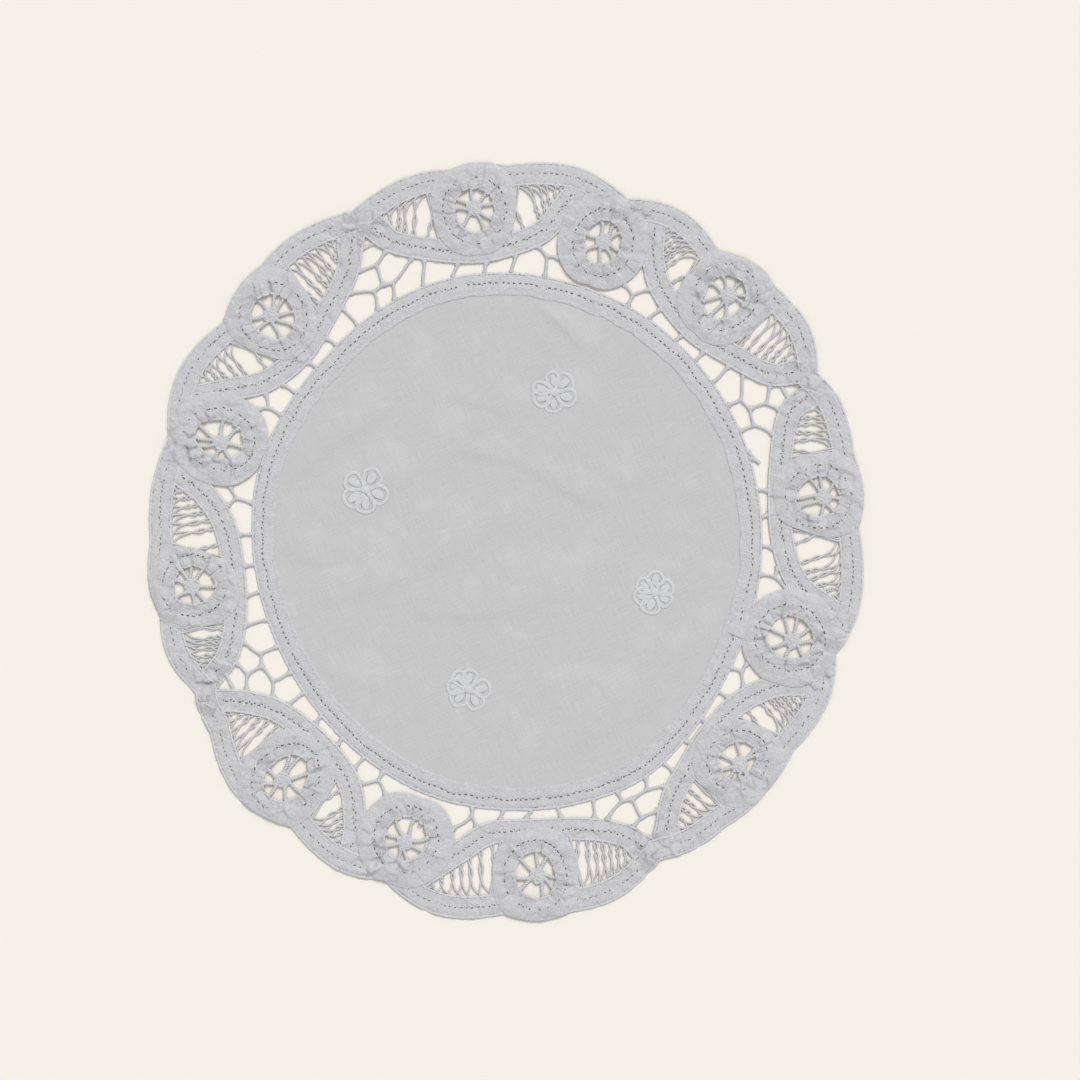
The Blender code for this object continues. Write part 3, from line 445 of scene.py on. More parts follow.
def eye_line(eye, step=ROW):
    """The middle line of an eye's inner tape, from its high tip to its low one, run on past each to lie
    under the outer tape."""
    places = np.array([polar(*place) for place in eye[3:]])
    first, last = places[:1] - places[1:2], places[-1:] - places[-2:-1]
    first, last = (run / np.linalg.norm(run) * RUN_ON for run in (first, last))
    line = flow(np.concatenate((places[:1] + first, places, places[-1:] + last)), step)
    return line[norm(line) < rim(angles(line)) - TAPE_HALF - RIM_CLEAR]


def ring_place(ring, x, y):
    """A place given from a ring's middle with the rim upwards: y outwards and x to the clockwise side."""
    outwards = polar(ring.deg, 1)
    return outwards * (ring.out + np.asarray(y))[..., None] + np.array(
        (outwards[1], -outwards[0])
    ) * np.asarray(x)[..., None]


def ring_point(ring, local, extra):
    """The opening at local angles: a quarter ellipse in each corner, its reaches made longer by extra."""
    left, right, up, down = (reach + more for reach, more in zip(ring[3:7], extra))
    cosine, sine = np.cos(np.radians(local)), np.sin(np.radians(local))
    return ring_place(ring, cosine * np.where(cosine > 0, right, left), sine * np.where(sine > 0, up, down))


def ring_edge(ring, local):
    """A ring's outer edge: a larger opening, fuller on its diagonals, drawn in at some corners by bells,
    and never past the rim."""
    crown = min(RING_CROWN, float(rim(ring.deg)) - ring.out - ring.up)
    point = ring_point(ring, local, (RING_SIDE, RING_SIDE, crown, RING_FOOT))
    fullness = RING_SHOULDER * np.abs(np.sin(2 * np.radians(local)))
    if ring.name in LAPS:
        fullness = fullness + RING_LAP * bell(np.degrees(np.arcsin(np.sin(np.radians(local)))) / LAP_WIDE)
    for heading, drawn in zip(CORNER_DEG, CORNERS.get(ring.name, ())):
        fullness = fullness - drawn * bell(half_turn(local - heading) / CORNER_WIDE)
    away = point - ring_place(ring, 0, 0)
    point = point + away / norm(away)[..., None] * fullness[..., None]
    return point * np.minimum(1, rim(angles(point)) / norm(point))[..., None]


EYE_STRETCHES = stretches([eye_line(row, 2.5) for row in EYES])
NET_STRETCHES = stretches([beside(eye_line(row, 1.0), -TAPE_HALF) for row in EYES]
                          + [ring_edge(row, np.append(np.arange(0.0, 360, 4), 0.0)) for row in RINGS])
RING_MIDDLES = np.array([ring_place(row, 0, 0) for row in RINGS])
TIPS = np.concatenate([polar([row.low, row.high], rim([row.low, row.high]) - 9) for row in EYES])
CUSPS = np.array([polar(row.peak.fork[0], row.peak.cross - 2) for row in NETS])


def over_tapes(points):
    """How far each point lies over an eye's tapes: 1 on them, 0 off them, eased over two millimetres."""
    on_band = smoothstep((norm(points) - band_inside(angles(points)) + 1) / 2)
    on_inner = smoothstep((TAPE_HALF + 1 - off(points, *EYE_STRETCHES)[1].min(axis=-1)) / 2)
    return np.maximum(on_band, on_inner)


def border_point(deg):
    """Where the ray at an angle first meets an eye's inner tape or a ring, past the cloth's tape."""
    ray = polar(deg, 1)
    start, run = NET_STRETCHES
    cross = ray[0] * run[:, 1] - ray[1] * run[:, 0]
    cross = np.where(np.abs(cross) < 1e-9, 1e-9, cross)
    out = (start[:, 0] * run[:, 1] - start[:, 1] * run[:, 0]) / cross
    place = (start[:, 0] * ray[1] - start[:, 1] * ray[0]) / cross
    return polar(deg, out[(out > 100) & (place >= 0) & (place <= 1)].min())


# ---- relief

def ridges(points):
    """The cloth's soft ridges: the highest of the creases' bells, each fading past its two ends, and each
    wider on its left side."""
    rows = np.array(CREASES, float)
    run = rows[:, 2:4] - rows[:, :2]
    to, away = off(points, rows[:, :2], run)
    left = (run[:, 0] * to[..., 1] - run[:, 1] * to[..., 0]) / norm(run) / np.maximum(away, 1e-6)
    width = rows[:, 4] * (1 + (WIDER - 1) * smoothstep(0.5 + 0.5 * left))
    return (rows[:, 5] * bell(away / width)).max(axis=-1)


def cloth_top(points):
    """The cloth's height at a place: soft ridges and a slow unevenness, which fade out under its tape."""
    share = norm(points) / (cloth_tape(angles(points)) - CLOTH_UNDER)
    fade = 1 - smoothstep((share - 0.9) / 0.07)
    return CLOTH_TOP + fade * (ridges(points) + 0.07 * crinkle(points, 3, 24) + 0.03 * crinkle(points, 4, 9))


def rumple(points):
    """How crumpled the lace is at a place: fully near the eyes' tips and under the rings, little
    elsewhere."""
    tip = norm(points[..., None, :] - TIPS).min(axis=-1)
    ring = norm(points[..., None, :] - RING_MIDDLES).min(axis=-1)
    return 0.22 + 0.78 * np.maximum(bell(tip / 13), 0.8 * np.exp(-((ring / 17) ** 4)))


def crumple(points):
    """The relief that all layers of the lace share: uneven pads with sharp creases, over a slow swell.
    Returns (the height, the painted shade of the creases, patchy and strongest where the lace is most
    crumpled)."""
    large, crease = facets(points, 6.0, 7, 0.36, 0.24)
    small, fine = facets(points, 2.7, 8, 0.12, 0.08)
    share = rumple(points)
    here = smoothstep(0.6 + 0.5 * crinkle(points, 12, 8)) * 0.85 * (share - 0.2)
    return share * (large + small) + 0.06 * crinkle(points, 9, 7), here * np.maximum(crease, 0.6 * fine)


# ---- meshes

# creases: for each point, how much painted shade a tape's colour takes there.
Skin = namedtuple("Skin", "points quads uvs creases", defaults=(None,))


def grid(points, uv, closed=False, keep=None, creases=None):
    """A skin over a grid of points, rows along the piece and columns from its right to its left."""
    rows, columns = points.shape[:2]
    i, j = np.meshgrid(np.arange(rows - 1 + closed), np.arange(columns - 1), indexing="ij")
    if keep is not None:
        i, j = i[keep], j[keep]
    i, j = i.ravel(), j.ravel()
    here, following = i * columns + j, (i + 1) % rows * columns + j
    quads = np.stack((here, following, following + 1, here + 1), axis=1)
    if closed:
        uv = np.concatenate((uv, 2 * uv[-1:] - uv[-2:-1]))
    uvs = np.stack((uv[i, j], uv[i + 1, j], uv[i + 1, j + 1], uv[i, j + 1]), axis=1)
    return Skin(points.reshape(-1, 3), quads, uvs, None if creases is None else creases.ravel())


def strand(line, radius, pitch, sides=8, lobe=0.2, closed=False, tall=None):
    """A twisted thread along a line in space. Each section is a circle with two lobes, and the lobes make
    one turn in each pitch, as two plies do; tall, if given, is its half height. The ends taper and are
    capped."""
    run = direction(line, closed)
    side = np.stack((-run[:, 1], run[:, 0], np.zeros(len(run))), axis=1)
    side /= norm(side)[:, None]
    up = np.cross(run, side)
    along = lengths(line)
    if closed:
        whole = along[-1] + norm(line[0] - line[-1])
        pitch = whole / max(1, round(whole / pitch))
    around = np.arange(sides) * 2 * np.pi / sides
    twist = 2 * np.pi * along / pitch
    lobes = 1 + lobe * np.cos(2 * (around - twist[:, None]))
    if not closed:
        lobes[[0, -1]] *= END_TAPER
    wide, tall = (np.broadcast_to(value, len(line))[:, None] for value in
                  (radius, radius if tall is None else tall))
    across, over = np.cos(around) * lobes * wide, np.sin(around) * lobes * tall
    points = line[:, None] + side[:, None] * across[..., None] + up[:, None] * over[..., None]
    points[..., 2] = np.maximum(points[..., 2], FLOOR_GAP)
    rows = len(line)
    i, j = np.meshgrid(np.arange(rows - 1 + closed), np.arange(sides), indexing="ij")
    i, j = i.ravel(), j.ravel()
    a, b = i * sides, (i + 1) % rows * sides
    quads = np.stack((a + j, a + (j + 1) % sides, b + (j + 1) % sides, b + j), axis=1)
    u = np.append(along, along[-1] + (norm(line[-1] - line[-2]) if closed else 0))
    corners = ((u[i], j), (u[i], j + 1), (u[i + 1], j + 1), (u[i + 1], j))
    uvs = np.stack([np.stack((x, y / sides), axis=1) for x, y in corners], axis=1)
    if not closed:
        cap = np.array(CAP[sides])
        quads = np.concatenate((quads, cap[:, ::-1], cap + (rows - 1) * sides))
        uvs = np.concatenate((uvs, np.zeros((2 * len(cap), 4, 2))))
    return Skin(points.reshape(-1, 3), quads, uvs)


def add(name, data):
    """A new object at the origin."""
    made = bpy.data.objects.new(name, data)
    bpy.context.scene.collection.objects.link(made)
    return made


def piece(name, skins, slot, node):
    """One object from skins set side by side, which rides on the root and stands for a CAD node."""
    starts = np.cumsum([0] + [len(skin.points) for skin in skins])
    points = np.concatenate([skin.points for skin in skins]) * MM
    quads = np.concatenate([skin.quads + start for skin, start in zip(skins, starts)])
    uvs = np.concatenate([skin.uvs for skin in skins])
    mesh = bpy.data.meshes.new(name)
    mesh.from_pydata(points, (), quads, shade_flat=False)
    mesh.uv_layers.new(name="along").data.foreach_set("uv", uvs.astype(np.float32).ravel())
    # Each point's crease value goes to the tape's colour as painted shade (lighter where it is below 0) and
    # to its bump as dips.
    if skins[0].creases is not None:
        creases = np.concatenate([skin.creases for skin in skins]).astype(np.float32)
        mesh.attributes.new("crease", "FLOAT", "POINT").data.foreach_set("value", creases)
    mesh.materials.append(FINISHES[slot])
    made = add(name, mesh)
    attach(made, "root")
    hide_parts(node)
    return made


# ---- materials

class Finish:
    """A material while its nodes are being made."""

    def __init__(self, name, colour, roughness, sheen):
        self.colour = colour
        self.made = bpy.data.materials.new(name)
        self.made.use_nodes = True
        self.tree = self.made.node_tree
        self.shader = self.tree.nodes["Principled BSDF"].inputs
        self.shader["Base Color"].default_value = (*colour, 1)
        self.shader["Roughness"].default_value = roughness
        self.shader["Sheen Weight"].default_value = sheen
        self.shader["Specular IOR Level"].default_value = 0.25

    def fill(self, socket, value):
        """Puts a number in a socket, or links another node's output to it."""
        if isinstance(value, bpy.types.NodeSocket):
            self.tree.links.new(value, socket)
        else:
            socket.default_value = value

    def node(self, kind, **values):
        made = self.tree.nodes.new("ShaderNode" + kind)
        for name, value in values.items():
            self.fill(made.inputs[name], value)
        return made

    def mapped(self, output, scale=(1, 1, 1), turn=0.0):
        """Coordinates turned about the upright axis and then scaled, each by the inverse of what such a
        mapping is given."""
        made = self.node("Mapping", Vector=self.node("TexCoord").outputs[output],
                         Scale=[1 / value for value in scale], Rotation=(0, 0, np.radians(turn)))
        made.vector_type = "TEXTURE"
        return made.outputs["Vector"]

    def noise(self, vector, scale, detail=2.0, roughness=0.5):
        return self.node("TexNoise", Vector=vector, Scale=scale, Detail=detail,
                         Roughness=roughness).outputs["Fac"]

    def maths(self, kind, first, second):
        made = self.node("Math")
        made.operation = kind
        for socket, value in zip(made.inputs, (first, second)):
            self.fill(socket, value)
        return made.outputs[0]

    def average(self, first, second, share=0.5):
        """The two together, with the first one's share."""
        return self.maths("ADD", self.maths("MULTIPLY", first, share),
                          self.maths("MULTIPLY", second, 1 - share))

    def threads(self, output, turn, thick, long, detail=2.0):
        """Two sets of woven threads that cross squarely: noise stretched along each, with uneven
        thread."""
        return self.average(*[self.noise(self.mapped(output, scale, turn), 1.0, detail)
                              for scale in ((long, thick, 1), (thick, long, 1))])

    def tint(self, value, spread, crease_shade_depth=None):
        """Colour from a value between 0 and 1: darker below a half and lighter above, by the spread. A
        value of 0 may be darker still, by the depth given last: painted shade for deep creases."""
        ramp = self.node("ValToRGB", Fac=value)
        low, high = ramp.color_ramp.elements
        if crease_shade_depth:
            ramp.color_ramp.elements.new(0).color = (*(c * (1 - crease_shade_depth) for c in self.colour), 1)
            low, high = ramp.color_ramp.elements[1:]
        low.position, high.position = 0.3, 0.7
        low.color = (*(c * (1 - spread) for c in self.colour), 1)
        high.color = (*(min(1, c * (1 + spread)) for c in self.colour), 1)
        self.fill(self.shader["Base Color"], ramp.outputs[0])

    def bump(self, height, distance):
        self.fill(self.shader["Normal"], self.node("Bump", Height=height, Distance=distance).outputs[0])


def cotton_cloth():
    """Plain weave with uneven threads: long thin streaks along both, and a soft mottle."""
    finish = Finish("cotton cloth", COTTON, 0.92, 0.05)
    slubs = finish.threads("Object", CLOTH_TURN, 1900, 110, 3.0)
    fine = finish.threads("Object", CLOTH_TURN, 2600, 900)
    mottle = finish.noise(finish.mapped("Object"), 45, 3.0)
    finish.tint(finish.average(slubs, mottle, 0.75), 0.095)
    finish.bump(finish.average(slubs, fine), 0.0003)
    return finish.made


def lace_tape():
    """Closely woven tape: a grain like crepe with threads in it, faint blots, darker and lighter at random,
    and creases that are deeper in the bump and painted darker, as painted shade in them."""
    finish = Finish("lace tape", TAPE_WHITE, 0.9, 0.05)
    plain = finish.mapped("Object")
    grain = finish.noise(plain, 1300, 2.0, 0.65)
    woven = finish.threads("UV", 0, 2.2, 0.5)
    blots = finish.noise(plain, 170, 3.0)
    # The crease attribute paints shade into the colour, in the creases, along the gathers and in the pits,
    # and paints the whipped cords lighter; it also sinks the bump.
    crease_shade_node = finish.node("Attribute")
    crease_shade_node.attribute_name = "crease"
    crease_shade_and_dip = finish.maths("MULTIPLY", crease_shade_node.outputs["Fac"], 0.4)
    finish.tint(finish.maths("SUBTRACT", finish.average(grain, blots, 0.75), crease_shade_and_dip), 0.13, 0.3)
    finish.bump(finish.maths("SUBTRACT", finish.average(grain, woven, 0.6), crease_shade_and_dip), 0.0006)
    return finish.made


def twisted_thread(name, colour):
    """Twisted thread: fibres that run slantwise round it."""
    finish = Finish(name, colour, 0.8, 0.1)
    fibres = finish.noise(finish.mapped("UV", (1.2, 9, 1), 25), 1.6)
    finish.tint(fibres, 0.05)
    finish.bump(fibres, 0.0001)
    return finish.made


FINISHES = {
    "cotton_cloth": cotton_cloth(),
    "woven_tape": lace_tape(),
    "cotton_thread": twisted_thread("cotton thread", THREAD_WHITE),
    "embroidery": twisted_thread("embroidery thread", STITCH_WHITE),
}


# ---- cloth and tapes

def centre_cloth():
    """The round cloth: a square grid pressed into a disc, each point at its half-angle share."""
    side = np.linspace(-1, 1, 201)
    u, v = np.meshgrid(side, side, indexing="ij")
    disc = np.stack((u * np.sqrt(1 - v * v / 2), v * np.sqrt(1 - u * u / 2)), axis=-1)
    flat = disc * (cloth_tape(angles(disc)) - CLOTH_UNDER)[..., None]
    made = piece("woven_cloth", [grid(raised(flat, cloth_top(flat)), flat)], "cotton_cloth", "centre_cloth")


def ladder(rows, closed, seed, shown, bare, even):
    """Which cells stay. Holes two or three rows long lie along one side of the ladder, and after each of
    them a smaller one on the other side, with a rung before it and after it. A share of them is open, and
    none where the tape is bare."""
    rng = draws(seed)
    count = rows - 1 + closed
    kinds = (2, 3, 3), (1, 1, 2), (1, 1, 2) if even else (0, 1, 1, 1), (1, 1, 2)
    run = np.stack([rng.choice(kind, count) for kind in kinds], axis=1).ravel()
    large, small = rng.random((2, count)) < [[shown], [0.8 * shown]]
    never = np.zeros(count, bool)
    keep = np.ones((count, COLUMNS - 1), bool)
    for column, cut in enumerate(((large, never, never, never), (never, never, small, never)), LADDER):
        gone = np.repeat(np.stack(cut, axis=1).ravel(), run)[:count] & ~bare[:count]
        keep[gone, column] = False
    return keep


def tape_skin(right, left, where, height, closed, seed, shown, bare, half=LADDER_HALF, whip=(1, 1),
              even=False):
    """A tape between two rails, and its length. Each row runs straight across from the right rail to the
    left one. The ladder lies at a distance from the left rail, and its edges shift a little at random;
    height gives the top face over each point, and the painted shade of its creases, from its place and its
    distance from the left rail. Whip is how much of the whipped border each rail shows: a cord painted
    lighter, with small pits beside it that dip a little and are painted darker, as painted shade."""
    rng = draws(seed + 1)
    rows = len(right)
    width = norm(left - right)[:, None]
    shift = rng.uniform(-0.1, 0.1, (rows, 3)) + 0.12 * wander(rows, seed, 40)[:, None]
    inner = EDGE[None] * (where - LADDER_HALF) / FULL
    outer = EDGE[None] * (width - where - LADDER_HALF) / FULL
    middle = where + np.array((half, 0, -(1 if even else 0.7) * half)) + shift
    away = np.concatenate((width - outer, middle, np.repeat(inner[:, ::-1], rows, axis=0)), axis=1)
    share = 1 - away / width
    flat = right[:, None] + (left - right)[:, None] * share[..., None]
    top, creases = height(flat, away)
    top = top + (*DROP, *[-LADDER_DEEP] * 3, *DROP[::-1])
    # Whipped borders: the cord columns are painted lighter, and the pit column dips and is painted darker, as
    # painted shade, most at the random pits.
    for strength, cord, pit in ((whip[0], (1, 2, 3), 4), (whip[1], (-2, -3, -4), -5)):
        pitted = strength * (rng.random(rows) < 0.22)
        creases[:, cord] -= 0.5 * strength
        creases[:, pit] += 0.1 * strength + 0.5 * pitted
        top[:, pit] -= 0.05 * strength + 0.06 * pitted
    if not closed:
        top[[0, -1]] -= THICK
    along = lengths((right + left) / 2)
    uv = np.stack((np.broadcast_to(along[:, None], share.shape), away), axis=2)
    keep = ladder(rows, closed, seed, shown, bare, even)
    return grid(raised(flat, np.maximum(top, FLOOR_GAP)), uv, closed, keep, creases), along[-1]


def centre_tape():
    """The tape round the cloth: its inner half lies on the cloth and its outer half comes down beside it.
    Its end lies over its start."""
    count = int(2 * np.pi * np.mean(CLOTH_TAPE_OUT) / ROW)
    deg = np.arange(count) * 360 / count
    start, end = LAP_DEG
    lap = smoothstep((deg - start) / 0.2) * smoothstep((end - deg) / 2)
    # A thin line of painted shade where the edge of the end lies over the start.
    lap_edge_shade = bell((deg - start) / 0.16)
    middle = cloth_tape(deg)
    uneven = 0.6 * scallops(count, 21) + 0.26 * wander(count, 22, 70) + 0.12 * wander(count, 27, 190)
    outer = polar(deg, middle + TAPE_HALF + scallops(count, 23) + 1.1 * lap)
    inner = polar(deg, middle - TAPE_HALF + uneven)

    def height(flat, away):
        groove = 0.06 * bell((away - 1.9) / 0.35)
        slope = 0.3 * smoothstep((away - 7) / 3.5) + 0.2 * smoothstep((away - 4) / 2)
        lumps = facets(flat, 4, 26, 0.05, 0.03)[0]
        top = TAPE_TOP + ON_CLOTH - slope - groove + 0.05 * crinkle(flat, 25, 6) + lumps
        across = smoothstep((away - 1.5) / 2)
        # The second value is painted shade: along the groove, and at the edge of the end.
        return top + 0.3 * lap[:, None] * across, groove + 0.7 * lap_edge_shade[:, None] * across

    skin, length = tape_skin(outer, inner, TAPE_HALF, height, True, 24, 0.95,
                             np.abs(deg - start - 2) < 2, whip=(1.3, 0))
    made = piece("centre_lace_tape", [skin], "woven_tape", "centre_tape")


def eye_tape(eye):
    """One eye: an outer tape along the rim and an inner one that hangs from tip to tip, tucked under the
    outer one at both ends and made wider, by two bells, where it nears a net's cusp."""
    seed = 100 + 10 * int(eye.name)
    middle = (eye.high + eye.low) / 2
    tuck = np.degrees(1.2 / rim(middle))
    count = int(np.radians(eye.high - eye.low) * rim(middle) / ROW)
    deg = np.linspace(eye.low - tuck, eye.high, count)
    outer, inner = polar(deg, rim(deg)), polar(deg, band_inside(deg) + scallops(count, seed))
    below = 0.3 * (1 - smoothstep((deg - eye.low + tuck) / tuck))[:, None]

    def outer_height(flat, away):
        # crumple's second value is the painted shade of the lace's creases.
        lumps, creases = crumple(flat)
        return TAPE_TOP + 0.04 - below - 0.3 * smoothstep((away - 7.5) / 3) + lumps, creases

    under_ring = np.abs(deg - near(RINGS[EYES.index(eye)].deg, middle)) < 5.5
    at_tip = np.minimum(deg - eye.low, eye.high - deg) < 4
    band, length = tape_skin(outer, inner, TAPE_HALF, outer_height, False, seed + 1, 0.8,
                             under_ring | at_tip, BAND_LADDER)

    line = eye_line(eye)[::-1]
    count = len(line)
    cusp = norm(line[:, None] - CUSPS).min(axis=1)
    past = smoothstep((norm(line) - 139) / 7)
    full = 0.8 * np.exp(-((cusp / 7) ** 4)) + 2.2 * past * np.exp(-((cusp / 13) ** 4))
    outside = beside(line, scallops(count, seed + 2) - TAPE_HALF - full)
    inside = beside(line, TAPE_HALF + scallops(count, seed + 3))
    sunk = np.linspace(0, 0.1, count)[:, None]

    def inner_height(flat, _):
        over = smoothstep((norm(flat) - band_inside(angles(flat)) + 1.5) / 2)
        lumps, creases = crumple(flat)
        return TAPE_TOP - 0.06 * over - sunk + lumps, creases

    hung, hung_length = tape_skin(outside, inside, TAPE_HALF, inner_height, False, seed + 4, 0.92,
                                  norm(line) > band_inside(angles(line)) - 1.5, even=True)
    made = piece(f"eye_lace_{eye.name}", [band, hung], "woven_tape", f"eye_tape_{eye.name}")


def pads(ring, local, away, seed):
    """Puffs between a ring's gathers: over its angle each is a flattened parabola, and each crease
    swings a little aside as it runs outwards and fades out where it ends. Returns (the height, the
    painted shade along the creases)."""
    rng = draws(seed)
    marks = np.array(sorted(ring.gathers), float)
    start, reach = np.append(marks[:, 0], marks[0, 0] + 360), np.append(marks[:, 1], marks[0, 1])
    swing = 7 * np.sin(np.radians(local * 3 + rng.uniform(0, 360)))[:, None] * (away / 8) ** 1.5
    turn = (local[:, None] + swing - start[0]) % 360 + start[0]
    index = np.clip(np.searchsorted(start, turn, side="right") - 1, 0, len(marks) - 1)
    share = (turn - start[index]) / (start[index + 1] - start[index])
    puff = np.clip(4 * share * (1 - share), 0, 1) ** 0.3
    tall = rng.uniform(0.75, 1.15, len(marks))[index]
    lean = rng.uniform(-1.5, 1.5, len(marks))[index] * (share - 0.5)
    # How dark each gather's crease is painted: painted shade.
    strength = rng.uniform(0.2, 0.7, len(marks))[index]
    ends = reach[index] * (1 - smoothstep(share)) + reach[index + 1] * smoothstep(share)
    crease = 1 - smoothstep((away - 0.75 * ends) / (0.5 * ends))
    rise = np.interp(away, (0, 1, 3, 6, 11), (0.3, 0.42, 0.5, 0.42, 0.2))
    aside = np.minimum(turn - start[index], start[index + 1] - turn) * np.radians(9)
    height = rise * (tall * (1 - (1 - puff) * crease) + lean * crease)
    return height, crease * strength * bell(aside / 0.27)


def ring_tape(ring):
    """A gathered ring: puffs stand round its opening and fade towards its outer edge, which lies down on
    the tapes below."""
    seed = 300 + 10 * RINGS.index(ring)
    count = int(2 * np.pi * (np.mean(ring[3:7]) + RING_LADDER) / ROW)
    local = np.arange(count) * 360 / count
    middle = ring_place(ring, 0, 0)
    drawn = pads(ring, local, np.zeros((count, 1)), seed)[1][:, 0]
    opening = ring_point(ring, local, [-0.3] * 4) - middle
    opening = middle + opening * (1 + 0.15 * drawn + 0.015 * wander(count, seed, 12))[:, None]
    edge = ring_edge(ring, local) - middle
    edge = middle + edge * (1 + (0.010 * wander(count, seed + 5, 11) - 0.012) * (ring.name in LAPS))[:, None]

    def height(flat, away):
        puffs, gathers = pads(ring, local, away, seed)
        lumps, creases = crumple(flat)
        free = smoothstep((away[:, :1] - away) / 3)
        by_cloth = smoothstep((cloth_tape(angles(flat)) + TAPE_HALF + 1 - norm(flat)) / 2)
        top = TAPE_TOP - 0.02 + free * (0.12 + LAYER * over_tapes(flat)) + puffs + lumps
        # The second value is painted shade: in the lace's creases and along the gathers.
        return top - 0.33 * by_cloth, np.maximum(creases, gathers)

    inward = (opening - edge) / norm(opening - edge)[:, None]
    hidden = over_tapes(opening - inward * RING_LADDER) > 0.5
    patches = np.repeat(draws(seed + 6).random(count // 5 + 1) < 0.5, 5)[:count]
    skin, length = tape_skin(edge, opening, RING_LADDER, height, True, seed + 3, 0.8, hidden & patches,
                             0.5, whip=(0, 0.6))
    made = piece(f"gathered_ring_{ring.name}", [skin], "woven_tape", f"ring_tape_{ring.name}")
    width = norm(edge - opening).mean()
    [f"eye_lace_{name}" for name in LAPS.get(ring.name, ring.name)]


# ---- thread work

def bent(start, end, bow, level, sway, end_height=0.0):
    """A thread's line from start to end: bowed sideways as half a sine wave with a second, full wave for
    sway, and raised by a bell towards its end."""
    length = norm(end - start)
    share = np.linspace(0, 1, max(4, int(length / 0.25)))
    run = (end - start) / length
    side = bow * np.sin(np.pi * share) + sway * np.sin(2 * np.pi * share)
    flat = start + run * (share * length)[:, None] + np.array((-run[1], run[0])) * side[:, None]
    return raised(flat, level + end_height * bell((1 - share) * length / 0.9))


def wheel(ring):
    """A wheel: twisted spokes, which widen by bells where they are sewn and at the knot, and a darned
    knot, whose rounds pass over and under them and close up into a lumpy dome."""
    rng = draws(500 + RINGS.index(ring))
    hub = ring_place(ring, *ring.hub)
    level = TAPE_TOP - 0.05
    skins = []
    for local in ring.spokes:
        end = ring_point(ring, local, [0.9] * 4)
        line = bent(hub, end, rng.uniform(-0.7, 0.7), level, rng.uniform(-0.5, 0.5))
        from_end, from_hub = norm(line[:, :2] - end), norm(line[:, :2] - hub)
        wide = 0.74 + 0.35 * bell((from_end - 0.6) / 0.9) + 0.4 * bell(from_hub - 2.6) \
            + 0.06 * wander(len(line), rng.integers(99), 9, False)
        skins.append(strand(line, wide, **SPOKE))
    turn = np.radians(np.arange(0, 360, 6))
    for k, reach in enumerate(KNOT_ROUNDS):
        wobble = 0.08 * np.sin(turn * 3 + rng.uniform(0, 6)) + 0.05 * np.sin(turn * 7 + rng.uniform(0, 6))
        flat = hub + rng.uniform(-0.2, 0.2, 2) + np.stack((np.cos(turn), np.sin(turn)), axis=1) * (
            reach * (1 + wobble))[:, None]
        height = level + 0.3 - 0.09 * k + 0.1 * np.sin(turn * 4 + k * np.pi + rng.uniform(-0.5, 0.5))
        skins.append(strand(raised(flat, height), 0.7, **KNOT))
    piece(f"thread_wheel_{ring.name}", skins, "cotton_thread", f"wheel_{ring.name}")


def opening_edges(eye):
    """(the lower edge, the upper edge) of an eye's opening, both from its high tip."""
    lower = beside(eye_line(eye, 0.5), TAPE_HALF)
    first, last = np.flatnonzero(norm(lower) < band_inside(angles(lower)))[[0, -1]]
    lower = lower[first : last + 1]
    deg = np.linspace(*near(angles(lower[[0, -1]]), (eye.high + eye.low) / 2), 300)
    return lower, polar(deg, band_inside(deg))


def outside_ring(line, ring):
    """The part of a line, from its start, that lies outside a ring's outer edge."""
    middle = ring_place(ring, 0, 0)
    edge = ring_edge(ring, np.arange(0.0, 360, 3)) - middle
    order = np.argsort(angles(edge))
    reach = np.interp(angles(line - middle), angles(edge)[order], norm(edge)[order], period=360)
    inside = norm(line - middle) < reach
    return line[: int(np.argmax(inside))] if inside.any() else line


def coil(foot, middle, wide, spread):
    """The two threads' lines from a foot up to where they part: each swings to its own side as a sine wave
    over the length, and the two cross in the middle and at the end. With spread they stand apart at the
    foot as well."""
    share = np.linspace(-0.06, 1, 8)
    up = middle - foot
    across = np.array((up[1], -up[0])) / norm(up)
    swing = np.sin((1.5 if spread else 2) * np.pi * (1 - share))
    return [foot + up * share[:, None] + across * (side * wide * swing)[:, None] for side in (-1, 1)]


def arm(start, end, to_ring, out):
    """A thread's line from where two part to its stitch: a parabola that sets off outwards and comes in
    almost along the edge, then goes on into the tape."""
    over = end - start
    control = start + out * (over @ out) * 0.85 + to_ring * (over @ to_ring) * 0.22
    share = np.linspace(0, 1, 7)[1:, None]
    line = start * (1 - share) ** 2 + control * 2 * share * (1 - share) + end * share**2
    return np.concatenate((line, line[-1:] + (out * 0.8 + to_ring * 0.6)))


